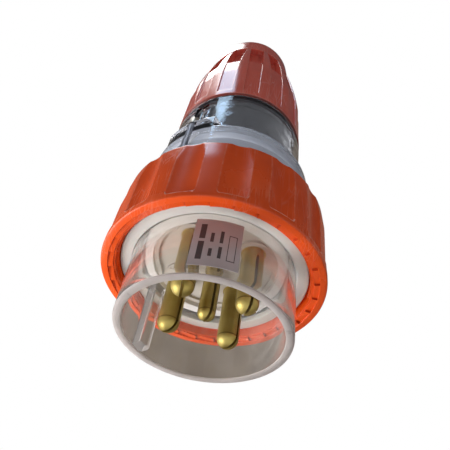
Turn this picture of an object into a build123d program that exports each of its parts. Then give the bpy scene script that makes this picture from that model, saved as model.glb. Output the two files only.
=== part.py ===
from build123d import *
from math import cos, radians, sin
import os

# Waterproof five-pin plug, standing on the rim of its clear shroud.
# Millimetres; z = 0 is the rim plane, +Z runs along the axis to the cable entry.
# Angles are in degrees about +Z, counted from +X.

# Shroud: clear tube round the pins, with its base flange
SHROUD_RADIUS = 30.0
SHROUD_WALL = 2.9
SHROUD_EDGE = 0.4
FLOOR_Z = 30.0
FLOOR_LIP_WIDTH = 2.7
FLOOR_LIP_THICKNESS = 2.0
FLANGE_WIDTH = 4.5
FLANGE_LEAD = 1.5
FLANGE_THICKNESS = 9.5
KEY_RIB_WIDTH = 5.4
KEY_RIB_HEIGHT = 3.8
KEY_RIB_SETBACK = 0.9

# Contact pins: four on a pitch circle, a thinner one on the axis
PIN_RADIUS = 3.95
NEUTRAL_RADIUS = 3.1
PIN_PITCH_RADIUS = 15.5
PIN_EXPOSED = 25.0
NEUTRAL_EXPOSED = 24.0
PIN_FIRST_ANGLE = 54.2
PIN_SLIT_WIDTH = 0.95
PIN_SLIT_ROOT = 3.0
PIN_SLIT_ANGLES = {
    "pin_phase_1": -40.0,
    "pin_earth": -40.0,
    "pin_phase_2": -87.0,
    "pin_phase_3": -73.0,
}
NEUTRAL_SLIT_ANGLE = -62.0
PIN_SHANK_EXTRA = 0.4
PIN_COLLAR_EXTRA = 1.6
PIN_COLLAR_LENGTH = 3.0
BARREL_RADIUS = 5.0
BARREL_LENGTH = 19.0
WIRE_BORE_RADIUS = 3.0
WIRE_BORE_DEPTH = 14.0
PIN_CLEARANCE = 0.05

# Terminal screws in the pin barrels
TERMINAL_SCREW_RADIUS = 1.9
TERMINAL_SCREW_LENGTH = 3.6
TERMINAL_SCREW_CLEARANCE = 0.05
TERMINAL_SCREW_SPACING = 6.0
TERMINAL_SCREW_END_MARGIN = 4.0
TERMINAL_SCREW_SLOT = 0.63
NEUTRAL_SCREW_ANGLE = 9.2

# White pin carrier, its retainer plate and screws
CARRIER_SEAT_WALL = 1.0
CARRIER_CLEARANCE = 0.1
CARRIER_FLANGE_WIDTH = 1.4
CARRIER_FLANGE_THICKNESS = 3.0
CARRIER_DEPTH = 13.0
FLOOR_RECESS_MARGIN = 1.7
FLOOR_RECESS_DEPTH = 1.0
PIN_PAD_EXTRA = 2.2
RETAINER_SETBACK = 1.5
RETAINER_THICKNESS = 3.5
RETAINER_SCREW_RADIUS = 1.5
RETAINER_SCREW_HEAD_RADIUS = 2.8
RETAINER_SCREW_HEAD_HEIGHT = 2.2
RETAINER_SCREW_SLOT = 0.7
RETAINER_SCREW_ENGAGEMENT = 7.5
RETAINER_SCREW_INSET = 3.5
RETAINER_SCREW_COUNT = 4
RETAINER_SCREW_ANGLE = 9.2

# White face gasket and the seal between shroud and rear body
GASKET_THICKNESS = 2.5
GASKET_EDGE = 0.5
GASKET_CLEARANCE = 0.05
SEAL_MARGIN = 0.16
SEAL_WIDTH = 0.9
SEAL_THICKNESS = 1.4
SEAL_CLEARANCE = 0.05

# Rear body: sleeve, step, neck and threaded spigot
SLEEVE_SETBACK = 0.6
SLEEVE_WALL = 3.1
SLEEVE_LENGTH = 32.0
STEP_SETBACK = 0.6
STEP_LENGTH = 5.0
NECK_SETBACK = 3.95
NECK_FILLET = 1.5
NECK_LENGTH = 28.2
RELIEF_DEPTH = 0.85
RELIEF_LENGTH = 4.2
SPIGOT_DEPTH = 1.3
SPIGOT_WALL = 2.2
SPIGOT_LENGTH = 12.6
SHOULDER_WIDTH = 8.0
SHOULDER_OFFSET = 9.0
SHOULDER_THICKNESS = 4.0

# Lugs that rise from the step on two opposite sides of the neck, one long screw through each
LUG_ANGLE = -128.5
LUG_HALF_WIDTH = 11.1
LUG_RISE = 6.8
LUG_ROOT_DEPTH = 2.5
LUG_COUNT = 2
BODY_SCREW_RADIUS = 1.6
BODY_SCREW_HOLE_CLEARANCE = 0.1
BODY_SCREW_HEAD_RADIUS = 2.3
BODY_SCREW_HEAD_HEIGHT = 4.5
BODY_SCREW_RELIEF_CLEARANCE = 0.15
BODY_SCREW_ENGAGEMENT = 5.7
BODY_SCREW_SLOT = 0.9
BODY_SCREW_CHANNEL_CLEARANCE = 1.7
BODY_SCREW_BOSS_WALL = 1.3
SCREW_SEAL_THICKNESS = 0.8

# Cable grommet, slip washer and gland nut
GROMMET_CLEARANCE = 0.2
GROMMET_BORE_RADIUS = 10.0
GROMMET_CHAMFER = 2.0
GROMMET_SETBACK = 2.0
WASHER_CLEARANCE = 0.5
WASHER_HOLE_RADIUS = 12.5
WASHER_THICKNESS = 2.6
WASHER_GAP = 0.2
NUT_GAP = 0.4
NUT_SKIRT_LENGTH = 26.2
NUT_SKIRT_TAPER = 0.5
NUT_DOME_LENGTH = 37.0
NUT_DOME_TAPER = 6.65
NUT_DOME_MID_LENGTH = 16.0
NUT_DOME_MID_TAPER = 2.1
NUT_COLLAR_LENGTH = 13.0
NUT_COLLAR_TAPER = 1.4
NUT_TIP_ROUND = 1.6
NUT_BORE_RADIUS = 13.5
NUT_THREAD_CLEARANCE = 0.3
NUT_THREAD_RUNOUT = 4.5
NUT_PLUNGER_INSET = 4.5
NUT_PLUNGER_WALL = 4.0
NUT_CAVITY_STEP = 2.1
NUT_CAVITY_LENGTH = 12.5
NUT_FLUTES = 15
NUT_FLUTE_ANGLE = -87.1
NUT_FLUTE_WIDTH = 7.0
NUT_FLUTE_DEPTH = 0.8
NUT_FLUTE_MARGIN = 3.6
NUT_POCKET_OFFSET = 10.5
NUT_POCKET_DEPTH_LOW = 6.5
NUT_POCKET_DEPTH_HIGH = 3.7

# Locking ring: fluted grip with a ratchet face at its front
RING_OVERHANG = 3.8
RING_LENGTH = 31.2
RING_FLANGE_CLEARANCE = 1.1
RING_RUNNING_CLEARANCE = 0.3
RING_WALL = 4.8
RING_LIP_RISE = 0.3
RING_LIP_LENGTH = 2.4
RING_TAPER = 1.0
RING_TAPER_LENGTH = 9.4
RING_EDGE = 0.5
RING_FLUTES = 15
RING_FLUTE_ANGLE = -87.9
RING_FLUTE_DEPTH = 1.5
RING_FLUTE_TOOL_RADIUS = 11.5
RING_BEARING_LENGTH = 4.4
RATCHET_COLLAR_WIDTH = 0.6
RATCHET_WIDTH = 1.9
RATCHET_SETBACK = 0.2
RATCHET_STEP = 0.8
RATCHET_COLLAR_SETBACK = 1.2
RATCHET_TEETH = 30
RATCHET_ANGLE = -85.7

# Silver rating label on the outside of the shroud
LABEL_START_Z = 3.5
LABEL_LENGTH = 19.8
LABEL_ANGLE = -91.2
LABEL_ARC = 29.4
LABEL_THICKNESS = 0.12
LABEL_GAP = 0.03

# Radii that follow, from the shroud outwards and back to the gland
SHROUD_BORE = SHROUD_RADIUS - SHROUD_WALL
CARRIER_BORE = SHROUD_BORE - CARRIER_SEAT_WALL
CARRIER_RADIUS = CARRIER_BORE - CARRIER_CLEARANCE
CARRIER_FLANGE_RADIUS = CARRIER_RADIUS + CARRIER_FLANGE_WIDTH
FLOOR_LIP_RADIUS = CARRIER_RADIUS - FLOOR_LIP_WIDTH
FLOOR_RECESS_RADIUS = FLOOR_LIP_RADIUS - FLOOR_RECESS_MARGIN
RETAINER_RADIUS = CARRIER_RADIUS - RETAINER_SETBACK
RETAINER_SCREW_CIRCLE = RETAINER_RADIUS - RETAINER_SCREW_INSET
FLANGE_RADIUS = SHROUD_RADIUS + FLANGE_WIDTH
SLEEVE_RADIUS = FLANGE_RADIUS - SLEEVE_SETBACK
SLEEVE_BORE = SLEEVE_RADIUS - SLEEVE_WALL
STEP_RADIUS = SLEEVE_RADIUS - STEP_SETBACK
NECK_RADIUS = STEP_RADIUS - NECK_SETBACK
RELIEF_RADIUS = NECK_RADIUS - RELIEF_DEPTH
SPIGOT_RADIUS = RELIEF_RADIUS - SPIGOT_DEPTH
GROMMET_CHAMBER_RADIUS = SPIGOT_RADIUS - SPIGOT_WALL
SHOULDER_RADIUS = GROMMET_CHAMBER_RADIUS - SHOULDER_WIDTH
WASHER_RADIUS = GROMMET_CHAMBER_RADIUS - WASHER_CLEARANCE
BODY_SCREW_CIRCLE = RELIEF_RADIUS + BODY_SCREW_RELIEF_CLEARANCE + BODY_SCREW_HEAD_RADIUS
BODY_SCREW_HOLE_RADIUS = BODY_SCREW_RADIUS + BODY_SCREW_HOLE_CLEARANCE
BODY_SCREW_CHANNEL = BODY_SCREW_HEAD_RADIUS + BODY_SCREW_CHANNEL_CLEARANCE
BODY_SCREW_BOSS_RADIUS = BODY_SCREW_RADIUS + BODY_SCREW_BOSS_WALL
SEAL_INNER_RADIUS = BODY_SCREW_CIRCLE + BODY_SCREW_RADIUS + SEAL_MARGIN
SEAL_OUTER_RADIUS = SEAL_INNER_RADIUS + SEAL_WIDTH
NUT_BASE_RADIUS = NECK_RADIUS
NUT_WAIST_RADIUS = NUT_BASE_RADIUS - NUT_SKIRT_TAPER
NUT_DOME_MID_RADIUS = NUT_WAIST_RADIUS - NUT_DOME_MID_TAPER
NUT_COLLAR_RADIUS = NUT_WAIST_RADIUS - NUT_DOME_TAPER
NUT_TIP_RADIUS = NUT_COLLAR_RADIUS - NUT_COLLAR_TAPER
NUT_THREAD_RADIUS = SPIGOT_RADIUS + NUT_THREAD_CLEARANCE
NUT_CAVITY_RADIUS = NUT_THREAD_RADIUS - NUT_CAVITY_STEP
NUT_PLUNGER_RADIUS = GROMMET_CHAMBER_RADIUS - NUT_PLUNGER_INSET
NUT_PLUNGER_BORE = NUT_PLUNGER_RADIUS - NUT_PLUNGER_WALL
NUT_POCKET_FLOOR_LOW = NUT_WAIST_RADIUS - NUT_POCKET_DEPTH_LOW
NUT_POCKET_FLOOR_HIGH = NUT_COLLAR_RADIUS - NUT_POCKET_DEPTH_HIGH
RING_BORE = SLEEVE_RADIUS + RING_RUNNING_CLEARANCE
RING_THREAD_RADIUS = FLANGE_RADIUS + RING_FLANGE_CLEARANCE
RATCHET_INNER_RADIUS = RING_THREAD_RADIUS + RATCHET_COLLAR_WIDTH
RATCHET_OUTER_RADIUS = RATCHET_INNER_RADIUS + RATCHET_WIDTH
RING_GRIP_RADIUS = RING_THREAD_RADIUS + RING_WALL
RING_LIP_RADIUS = RING_GRIP_RADIUS + RING_LIP_RISE
RING_REAR_RADIUS = RING_GRIP_RADIUS - RING_TAPER

# Heights that follow, from the floor of the shroud up to the tip of the nut
FLOOR_LIP_Z = FLOOR_Z - FLOOR_LIP_THICKNESS
FLANGE_FRONT_Z = FLOOR_Z - FLANGE_LEAD
FLANGE_REAR_Z = FLANGE_FRONT_Z + FLANGE_THICKNESS
GASKET_Z = FLANGE_FRONT_Z - GASKET_THICKNESS
SEAL_Z = FLANGE_REAR_Z - SEAL_THICKNESS
CARRIER_REAR_Z = FLOOR_Z + CARRIER_DEPTH
CARRIER_FLANGE_Z = FLANGE_REAR_Z + CARRIER_FLANGE_THICKNESS
PIN_COLLAR_Z = CARRIER_REAR_Z - PIN_COLLAR_LENGTH
RETAINER_REAR_Z = CARRIER_REAR_Z + RETAINER_THICKNESS
RETAINER_SCREW_TIP_Z = CARRIER_REAR_Z - RETAINER_SCREW_ENGAGEMENT
BARREL_END_Z = CARRIER_REAR_Z + BARREL_LENGTH
SLEEVE_END_Z = FLANGE_REAR_Z + SLEEVE_LENGTH
STEP_END_Z = SLEEVE_END_Z + STEP_LENGTH
NECK_END_Z = STEP_END_Z + NECK_LENGTH
SPIGOT_START_Z = NECK_END_Z + RELIEF_LENGTH
SPIGOT_END_Z = SPIGOT_START_Z + SPIGOT_LENGTH
SHOULDER_Z = STEP_END_Z + SHOULDER_OFFSET
BODY_SCREW_SEAT_Z = STEP_END_Z + LUG_RISE
BODY_SCREW_TIP_Z = FLANGE_REAR_Z - BODY_SCREW_ENGAGEMENT
GROMMET_TOP_Z = SPIGOT_END_Z - GROMMET_SETBACK
WASHER_TOP_Z = GROMMET_TOP_Z + WASHER_THICKNESS
NUT_BASE_Z = SPIGOT_START_Z + NUT_GAP
NUT_WAIST_Z = NUT_BASE_Z + NUT_SKIRT_LENGTH
NUT_DOME_MID_Z = NUT_WAIST_Z + NUT_DOME_MID_LENGTH
NUT_COLLAR_Z = NUT_WAIST_Z + NUT_DOME_LENGTH
NUT_TIP_Z = NUT_COLLAR_Z + NUT_COLLAR_LENGTH
NUT_PLUNGER_Z = WASHER_TOP_Z + WASHER_GAP
NUT_THREAD_END_Z = SPIGOT_END_Z + NUT_THREAD_RUNOUT
NUT_CAVITY_END_Z = NUT_THREAD_END_Z + NUT_CAVITY_LENGTH
NUT_FLUTE_START_Z = NUT_BASE_Z + NUT_FLUTE_MARGIN
NUT_POCKET_START_Z = NUT_WAIST_Z + NUT_POCKET_OFFSET
RING_FRONT_Z = GASKET_Z - RING_OVERHANG
RING_REAR_Z = RING_FRONT_Z + RING_LENGTH
RING_TAPER_Z = RING_REAR_Z - RING_TAPER_LENGTH
RING_BEARING_Z = RING_REAR_Z - RING_BEARING_LENGTH
RATCHET_Z = RING_FRONT_Z + RATCHET_SETBACK
RATCHET_COLLAR_Z = RING_FRONT_Z + RATCHET_COLLAR_SETBACK

# Angles that follow, and a length that reaches past every piece
PIN_ANGLES = [PIN_FIRST_ANGLE + 90 * i for i in range(4)]
EARTH_ANGLE = PIN_ANGLES[1]
BEYOND = RING_LIP_RADIUS
BASE = (Align.CENTER, Align.CENTER, Align.MIN)


def turned(*points):
    """Solid of revolution about Z from a closed outline of (radius, height) points."""
    outline = Polyline(*[(radius, 0, height) for radius, height in points], close=True)
    return revolve(make_face(outline), Axis.Z)


def rod(radius, low, high, x=0.0, y=0.0):
    """Plain cylinder along Z between two heights."""
    return Pos(x, y, low) * Cylinder(radius, high - low, align=BASE)


def tube(inner, outer, low, high):
    """Plain ring along Z between two heights."""
    return rod(outer, low, high) - rod(inner, low, high)


def around(shape, count, first):
    """Copies of one shape spread evenly about Z, starting at an angle."""
    return [Rot(0, 0, first + 360 / count * i) * shape for i in range(count)]


def radial_slab(outline, width):
    """Slab of even width across +X from an outline of (radius, height) points."""
    face = make_face(Polyline(*[(radius, 0, height) for radius, height in outline], close=True))
    return extrude(face, amount=width / 2, both=True)


def polar(radius, angle):
    """Plan coordinates of a point at a radius and angle."""
    return radius * cos(radians(angle)), radius * sin(radians(angle))


def body_screw_places():
    """Plan coordinates of the screws that join the rear body to the shroud."""
    return [polar(BODY_SCREW_CIRCLE, LUG_ANGLE + 360 / LUG_COUNT * i) for i in range(LUG_COUNT)]


def front_shroud():
    """Clear tube with its key rib, floor lip and flange."""
    body = turned(
        (SHROUD_BORE + SHROUD_EDGE, 0),
        (SHROUD_RADIUS - SHROUD_EDGE, 0),
        (SHROUD_RADIUS, SHROUD_EDGE),
        (SHROUD_RADIUS, FLANGE_FRONT_Z),
        (FLANGE_RADIUS, FLANGE_FRONT_Z),
        (FLANGE_RADIUS, FLANGE_REAR_Z),
        (CARRIER_BORE, FLANGE_REAR_Z),
        (CARRIER_BORE, FLOOR_Z),
        (FLOOR_LIP_RADIUS, FLOOR_Z),
        (FLOOR_LIP_RADIUS, FLOOR_LIP_Z),
        (SHROUD_BORE, FLOOR_LIP_Z),
        (SHROUD_BORE, SHROUD_EDGE),
    )
    rib_outer = SHROUD_BORE + SHROUD_WALL / 2
    rib_inner = SHROUD_BORE - KEY_RIB_HEIGHT
    rib = radial_slab(
        [
            (rib_inner, KEY_RIB_SETBACK),
            (rib_outer, KEY_RIB_SETBACK),
            (rib_outer, FLOOR_LIP_Z + FLOOR_LIP_THICKNESS / 2),
            (rib_inner, FLOOR_LIP_Z + FLOOR_LIP_THICKNESS / 2),
        ],
        KEY_RIB_WIDTH,
    )
    body += Rot(0, 0, EARTH_ANGLE) * rib
    body -= tube(
        SEAL_INNER_RADIUS - SEAL_CLEARANCE, SEAL_OUTER_RADIUS + SEAL_CLEARANCE, SEAL_Z, FLANGE_REAR_Z
    )
    for x, y in body_screw_places():
        body -= rod(BODY_SCREW_RADIUS, BODY_SCREW_TIP_Z, FLANGE_REAR_Z, x, y)
    return body


def pin_carrier():
    """White insulating block with a stepped floor and a hole for each pin."""
    body = rod(CARRIER_RADIUS, FLOOR_Z, CARRIER_REAR_Z)
    body += rod(CARRIER_FLANGE_RADIUS, FLANGE_REAR_Z, CARRIER_FLANGE_Z)
    recess = rod(FLOOR_RECESS_RADIUS, FLOOR_Z, FLOOR_Z + FLOOR_RECESS_DEPTH)
    for radius, x, y in pin_places():
        recess -= rod(radius + PIN_PAD_EXTRA, FLOOR_Z, FLOOR_Z + FLOOR_RECESS_DEPTH, x, y)
    body -= recess
    for radius, x, y in pin_places():
        body -= rod(radius + PIN_SHANK_EXTRA + PIN_CLEARANCE, FLOOR_Z, CARRIER_REAR_Z, x, y)
        collar = radius + PIN_COLLAR_EXTRA + PIN_CLEARANCE
        body -= rod(collar, PIN_COLLAR_Z, CARRIER_REAR_Z, x, y)
    for x, y in retainer_screw_places():
        body -= rod(RETAINER_SCREW_RADIUS, RETAINER_SCREW_TIP_Z, CARRIER_REAR_Z, x, y)
    return body


def pin_places():
    """Radius and plan place of each pin, the thin one on the axis last."""
    outer = [(PIN_RADIUS, *polar(PIN_PITCH_RADIUS, angle)) for angle in PIN_ANGLES]
    return outer + [(NEUTRAL_RADIUS, 0.0, 0.0)]


def retainer_screw_places():
    """Plan place of each screw that holds the retainer plate."""
    step = 360 / RETAINER_SCREW_COUNT
    return [
        polar(RETAINER_SCREW_CIRCLE, RETAINER_SCREW_ANGLE + step * i)
        for i in range(RETAINER_SCREW_COUNT)
    ]


def pin_retainer():
    """Plate behind the carrier that traps the collars of the pins."""
    plate = rod(RETAINER_RADIUS, CARRIER_REAR_Z, RETAINER_REAR_Z)
    for radius, x, y in pin_places():
        barrel = barrel_radius(radius)
        plate -= rod(barrel + PIN_CLEARANCE, CARRIER_REAR_Z, RETAINER_REAR_Z, x, y)
    for x, y in retainer_screw_places():
        plate -= rod(RETAINER_SCREW_RADIUS, CARRIER_REAR_Z, RETAINER_REAR_Z, x, y)
    return plate


def retainer_screws():
    """Slotted screws through the retainer plate."""
    screws = []
    for x, y in retainer_screw_places():
        head_top = RETAINER_REAR_Z + RETAINER_SCREW_HEAD_HEIGHT
        screw = rod(RETAINER_SCREW_RADIUS, RETAINER_SCREW_TIP_Z, RETAINER_REAR_Z, x, y)
        screw += rod(RETAINER_SCREW_HEAD_RADIUS, RETAINER_REAR_Z, head_top, x, y)
        slot = Box(BEYOND, RETAINER_SCREW_SLOT, RETAINER_SCREW_HEAD_HEIGHT)
        screws.append(screw - Pos(x, y, head_top) * slot)
    return screws


def barrel_radius(pin_radius):
    """Radius of the terminal barrel behind a pin."""
    return BARREL_RADIUS - (PIN_RADIUS - pin_radius) / 2


def contact_pin(radius, exposed, slit_angle, screw_angle):
    """Split round pin with a domed tip, a stout shank, a trapped collar and a terminal barrel."""
    tip = FLOOR_Z - exposed
    dome = tip + radius
    shank = radius + PIN_SHANK_EXTRA
    collar = radius + PIN_COLLAR_EXTRA
    barrel = barrel_radius(radius)
    lines = [
        ThreePointArc(
            (0, 0, tip),
            (radius * sin(radians(45)), 0, dome - radius * cos(radians(45))),
            (radius, 0, dome),
        )
    ]
    rest = [
        (radius, dome),
        (radius, FLOOR_Z),
        (shank, FLOOR_Z),
        (shank, PIN_COLLAR_Z),
        (collar, PIN_COLLAR_Z),
        (collar, CARRIER_REAR_Z),
        (barrel, CARRIER_REAR_Z),
        (barrel, BARREL_END_Z),
        (WIRE_BORE_RADIUS, BARREL_END_Z),
        (WIRE_BORE_RADIUS, BARREL_END_Z - WIRE_BORE_DEPTH),
        (0, BARREL_END_Z - WIRE_BORE_DEPTH),
        (0, tip),
    ]
    lines.append(Polyline(*[(r, 0, z) for r, z in rest]))
    pin = revolve(make_face(lines), Axis.Z)
    slit_length = exposed - PIN_SLIT_ROOT
    pin -= Pos(0, 0, tip) * Box(PIN_SLIT_WIDTH, BEYOND, slit_length, align=BASE)
    pin = Rot(0, 0, slit_angle - 90) * pin
    for z in terminal_screw_heights():
        hole_radius = TERMINAL_SCREW_RADIUS + TERMINAL_SCREW_CLEARANCE
        hole = Pos(0, 0, z) * Rot(0, 90, 0) * Cylinder(hole_radius, barrel * 2, align=BASE)
        pin -= Rot(0, 0, screw_angle) * hole
    return pin


def terminal_screw_heights():
    """Heights of the two clamping screws on each barrel."""
    top = BARREL_END_Z - TERMINAL_SCREW_END_MARGIN
    return [top - TERMINAL_SCREW_SPACING, top]


def terminal_screw(barrel, angle, z):
    """Slotted grub screw that stands a little proud of its barrel."""
    body = Cylinder(TERMINAL_SCREW_RADIUS, TERMINAL_SCREW_LENGTH, align=BASE)
    slot = Box(BEYOND, TERMINAL_SCREW_SLOT, TERMINAL_SCREW_RADIUS)
    body -= Pos(0, 0, TERMINAL_SCREW_LENGTH) * slot
    start = barrel + TERMINAL_SCREW_RADIUS - TERMINAL_SCREW_LENGTH
    return Rot(0, 0, angle) * Pos(start, 0, z) * Rot(0, 90, 0) * body


def terminal_screws():
    """The clamping screws of all the barrels."""
    screws = []
    screw_angles = PIN_ANGLES + [NEUTRAL_SCREW_ANGLE]
    for (radius, x, y), angle in zip(pin_places(), screw_angles):
        for z in terminal_screw_heights():
            screws.append(Pos(x, y, 0) * terminal_screw(barrel_radius(radius), angle, z))
    return screws


def flange_gasket():
    """White face gasket round the foot of the shroud."""
    inner = SHROUD_RADIUS + GASKET_CLEARANCE
    outer = FLANGE_RADIUS - GASKET_CLEARANCE
    return turned(
        (inner, GASKET_Z),
        (outer - GASKET_EDGE, GASKET_Z),
        (outer, GASKET_Z + GASKET_EDGE),
        (outer, FLANGE_FRONT_Z),
        (inner, FLANGE_FRONT_Z),
    )


def body_seal():
    """Rubber ring between the flange and the end of the sleeve."""
    return tube(SEAL_INNER_RADIUS, SEAL_OUTER_RADIUS, SEAL_Z, FLANGE_REAR_Z)


def rear_body():
    """Clear rear moulding: sleeve, screw lugs, neck and threaded spigot."""
    outside = turned(
        (0, FLANGE_REAR_Z),
        (SLEEVE_RADIUS, FLANGE_REAR_Z),
        (SLEEVE_RADIUS, SLEEVE_END_Z),
        (STEP_RADIUS, SLEEVE_END_Z + SLEEVE_RADIUS - STEP_RADIUS),
        (STEP_RADIUS, STEP_END_Z - NECK_FILLET),
        (STEP_RADIUS - NECK_FILLET, STEP_END_Z),
        (NECK_RADIUS + NECK_FILLET, STEP_END_Z),
        (NECK_RADIUS, STEP_END_Z + NECK_FILLET),
        (NECK_RADIUS, NECK_END_Z),
        (RELIEF_RADIUS, NECK_END_Z),
        (RELIEF_RADIUS, SPIGOT_START_Z),
        (SPIGOT_RADIUS, SPIGOT_START_Z),
        (SPIGOT_RADIUS, SPIGOT_END_Z),
        (0, SPIGOT_END_Z),
    )
    lug_root = NECK_RADIUS - LUG_ROOT_DEPTH
    lug_start = STEP_END_Z - NECK_FILLET
    lug = radial_slab(
        [
            (lug_root, lug_start),
            (lug_root + BEYOND, lug_start),
            (lug_root + BEYOND, BODY_SCREW_SEAT_Z),
            (lug_root, BODY_SCREW_SEAT_Z),
        ],
        2 * LUG_HALF_WIDTH,
    )
    lug &= rod(STEP_RADIUS, lug_start, BODY_SCREW_SEAT_Z)
    body = outside
    for copy in around(lug, LUG_COUNT, LUG_ANGLE):
        body += copy
    body -= wiring_chamber()
    body -= rod(GROMMET_CHAMBER_RADIUS, SHOULDER_Z, SPIGOT_END_Z)
    body -= rod(SHOULDER_RADIUS, SHOULDER_Z - SHOULDER_THICKNESS, SHOULDER_Z)
    for x, y in body_screw_places():
        body -= rod(BODY_SCREW_HOLE_RADIUS, FLANGE_REAR_Z, BODY_SCREW_SEAT_Z, x, y)
    height = NECK_END_Z - BODY_SCREW_SEAT_Z
    channel = rod(BODY_SCREW_CHANNEL, BODY_SCREW_SEAT_Z, NECK_END_Z)
    channel += Pos(0, 0, BODY_SCREW_SEAT_Z) * Box(
        BEYOND, 2 * BODY_SCREW_CHANNEL, height, align=(Align.MIN, Align.CENTER, Align.MIN)
    )
    for copy in around(Pos(BODY_SCREW_CIRCLE, 0, 0) * channel, LUG_COUNT, LUG_ANGLE):
        body -= copy
    return body


def wiring_chamber():
    """Hollow behind the carrier, clear of the screw bosses."""
    end = SHOULDER_Z - SHOULDER_THICKNESS
    neck_bore = GROMMET_CHAMBER_RADIUS
    chamber = turned(
        (0, FLANGE_REAR_Z),
        (SLEEVE_BORE, FLANGE_REAR_Z),
        (SLEEVE_BORE, SLEEVE_END_Z - SLEEVE_WALL),
        (neck_bore, STEP_END_Z),
        (neck_bore, end),
        (0, end),
    )
    for x, y in body_screw_places():
        chamber -= rod(BODY_SCREW_BOSS_RADIUS, CARRIER_FLANGE_Z, end, x, y)
    return chamber


def body_screws():
    """Long slotted screws that pull the rear body on to the flange."""
    screws = []
    seat = BODY_SCREW_SEAT_Z + SCREW_SEAL_THICKNESS
    top = seat + BODY_SCREW_HEAD_HEIGHT
    for x, y in body_screw_places():
        screw = rod(BODY_SCREW_RADIUS, BODY_SCREW_TIP_Z, seat, x, y)
        screw += rod(BODY_SCREW_HEAD_RADIUS, seat, top, x, y)
        slot = Box(BEYOND, BODY_SCREW_SLOT, BODY_SCREW_HEAD_HEIGHT)
        screws.append(screw - Pos(x, y, top) * slot)
    return screws


def screw_seals():
    """Sealing washers under the heads of the long screws."""
    seals = []
    top = BODY_SCREW_SEAT_Z + SCREW_SEAL_THICKNESS
    for x, y in body_screw_places():
        disc = rod(BODY_SCREW_HEAD_RADIUS, BODY_SCREW_SEAT_Z, top, x, y)
        seals.append(disc - rod(BODY_SCREW_HOLE_RADIUS, BODY_SCREW_SEAT_Z, top, x, y))
    return seals


def cable_grommet():
    """Rubber bush in the neck that grips the cable when the nut is tightened."""
    outer = GROMMET_CHAMBER_RADIUS - GROMMET_CLEARANCE
    return turned(
        (GROMMET_BORE_RADIUS + GROMMET_CHAMFER, SHOULDER_Z),
        (outer, SHOULDER_Z),
        (outer, GROMMET_TOP_Z - GROMMET_CHAMFER),
        (outer - GROMMET_CHAMFER, GROMMET_TOP_Z),
        (GROMMET_BORE_RADIUS, GROMMET_TOP_Z),
        (GROMMET_BORE_RADIUS, SHOULDER_Z + GROMMET_CHAMFER),
    )


def slip_washer():
    """Nylon washer between the nut and the grommet."""
    return tube(WASHER_HOLE_RADIUS, WASHER_RADIUS, GROMMET_TOP_Z, WASHER_TOP_Z)


def gland_nut():
    """Domed cap nut with flutes that deepen into pockets below its end collar."""
    outline = [
        Line((NUT_BASE_RADIUS, 0, NUT_BASE_Z), (NUT_WAIST_RADIUS, 0, NUT_WAIST_Z)),
        ThreePointArc(
            (NUT_WAIST_RADIUS, 0, NUT_WAIST_Z),
            (NUT_DOME_MID_RADIUS, 0, NUT_DOME_MID_Z),
            (NUT_COLLAR_RADIUS, 0, NUT_COLLAR_Z),
        ),
        Polyline(
            *[
                (r, 0, z)
                for r, z in [
                    (NUT_COLLAR_RADIUS, NUT_COLLAR_Z),
                    (NUT_TIP_RADIUS, NUT_TIP_Z - NUT_TIP_ROUND),
                    (NUT_TIP_RADIUS - NUT_TIP_ROUND, NUT_TIP_Z),
                    (NUT_BORE_RADIUS, NUT_TIP_Z),
                    (NUT_BORE_RADIUS, NUT_POCKET_START_Z),
                    (NUT_PLUNGER_BORE, NUT_THREAD_END_Z),
                    (NUT_PLUNGER_BORE, NUT_PLUNGER_Z),
                    (NUT_PLUNGER_RADIUS, NUT_PLUNGER_Z),
                    (NUT_PLUNGER_RADIUS, NUT_CAVITY_END_Z),
                    (NUT_CAVITY_RADIUS, NUT_CAVITY_END_Z),
                    (NUT_CAVITY_RADIUS, NUT_THREAD_END_Z),
                    (NUT_THREAD_RADIUS, NUT_THREAD_END_Z),
                    (NUT_THREAD_RADIUS, NUT_BASE_Z),
                    (NUT_BASE_RADIUS, NUT_BASE_Z),
                ]
            ]
        ),
    ]
    body = revolve(make_face(outline), Axis.Z)
    pocket_lip = (NUT_WAIST_RADIUS + NUT_DOME_MID_RADIUS) / 2 - NUT_FLUTE_DEPTH
    far = NUT_BASE_RADIUS + BEYOND
    panel = radial_slab(
        [
            (NUT_BASE_RADIUS - NUT_FLUTE_DEPTH, NUT_FLUTE_START_Z),
            (NUT_WAIST_RADIUS - NUT_FLUTE_DEPTH, NUT_WAIST_Z),
            (pocket_lip, NUT_POCKET_START_Z),
            (NUT_POCKET_FLOOR_LOW, NUT_POCKET_START_Z),
            (NUT_POCKET_FLOOR_HIGH, NUT_COLLAR_Z),
            (far, NUT_COLLAR_Z),
            (far, NUT_FLUTE_START_Z),
        ],
        NUT_FLUTE_WIDTH,
    )
    return body - around(panel, NUT_FLUTES, NUT_FLUTE_ANGLE)


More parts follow.
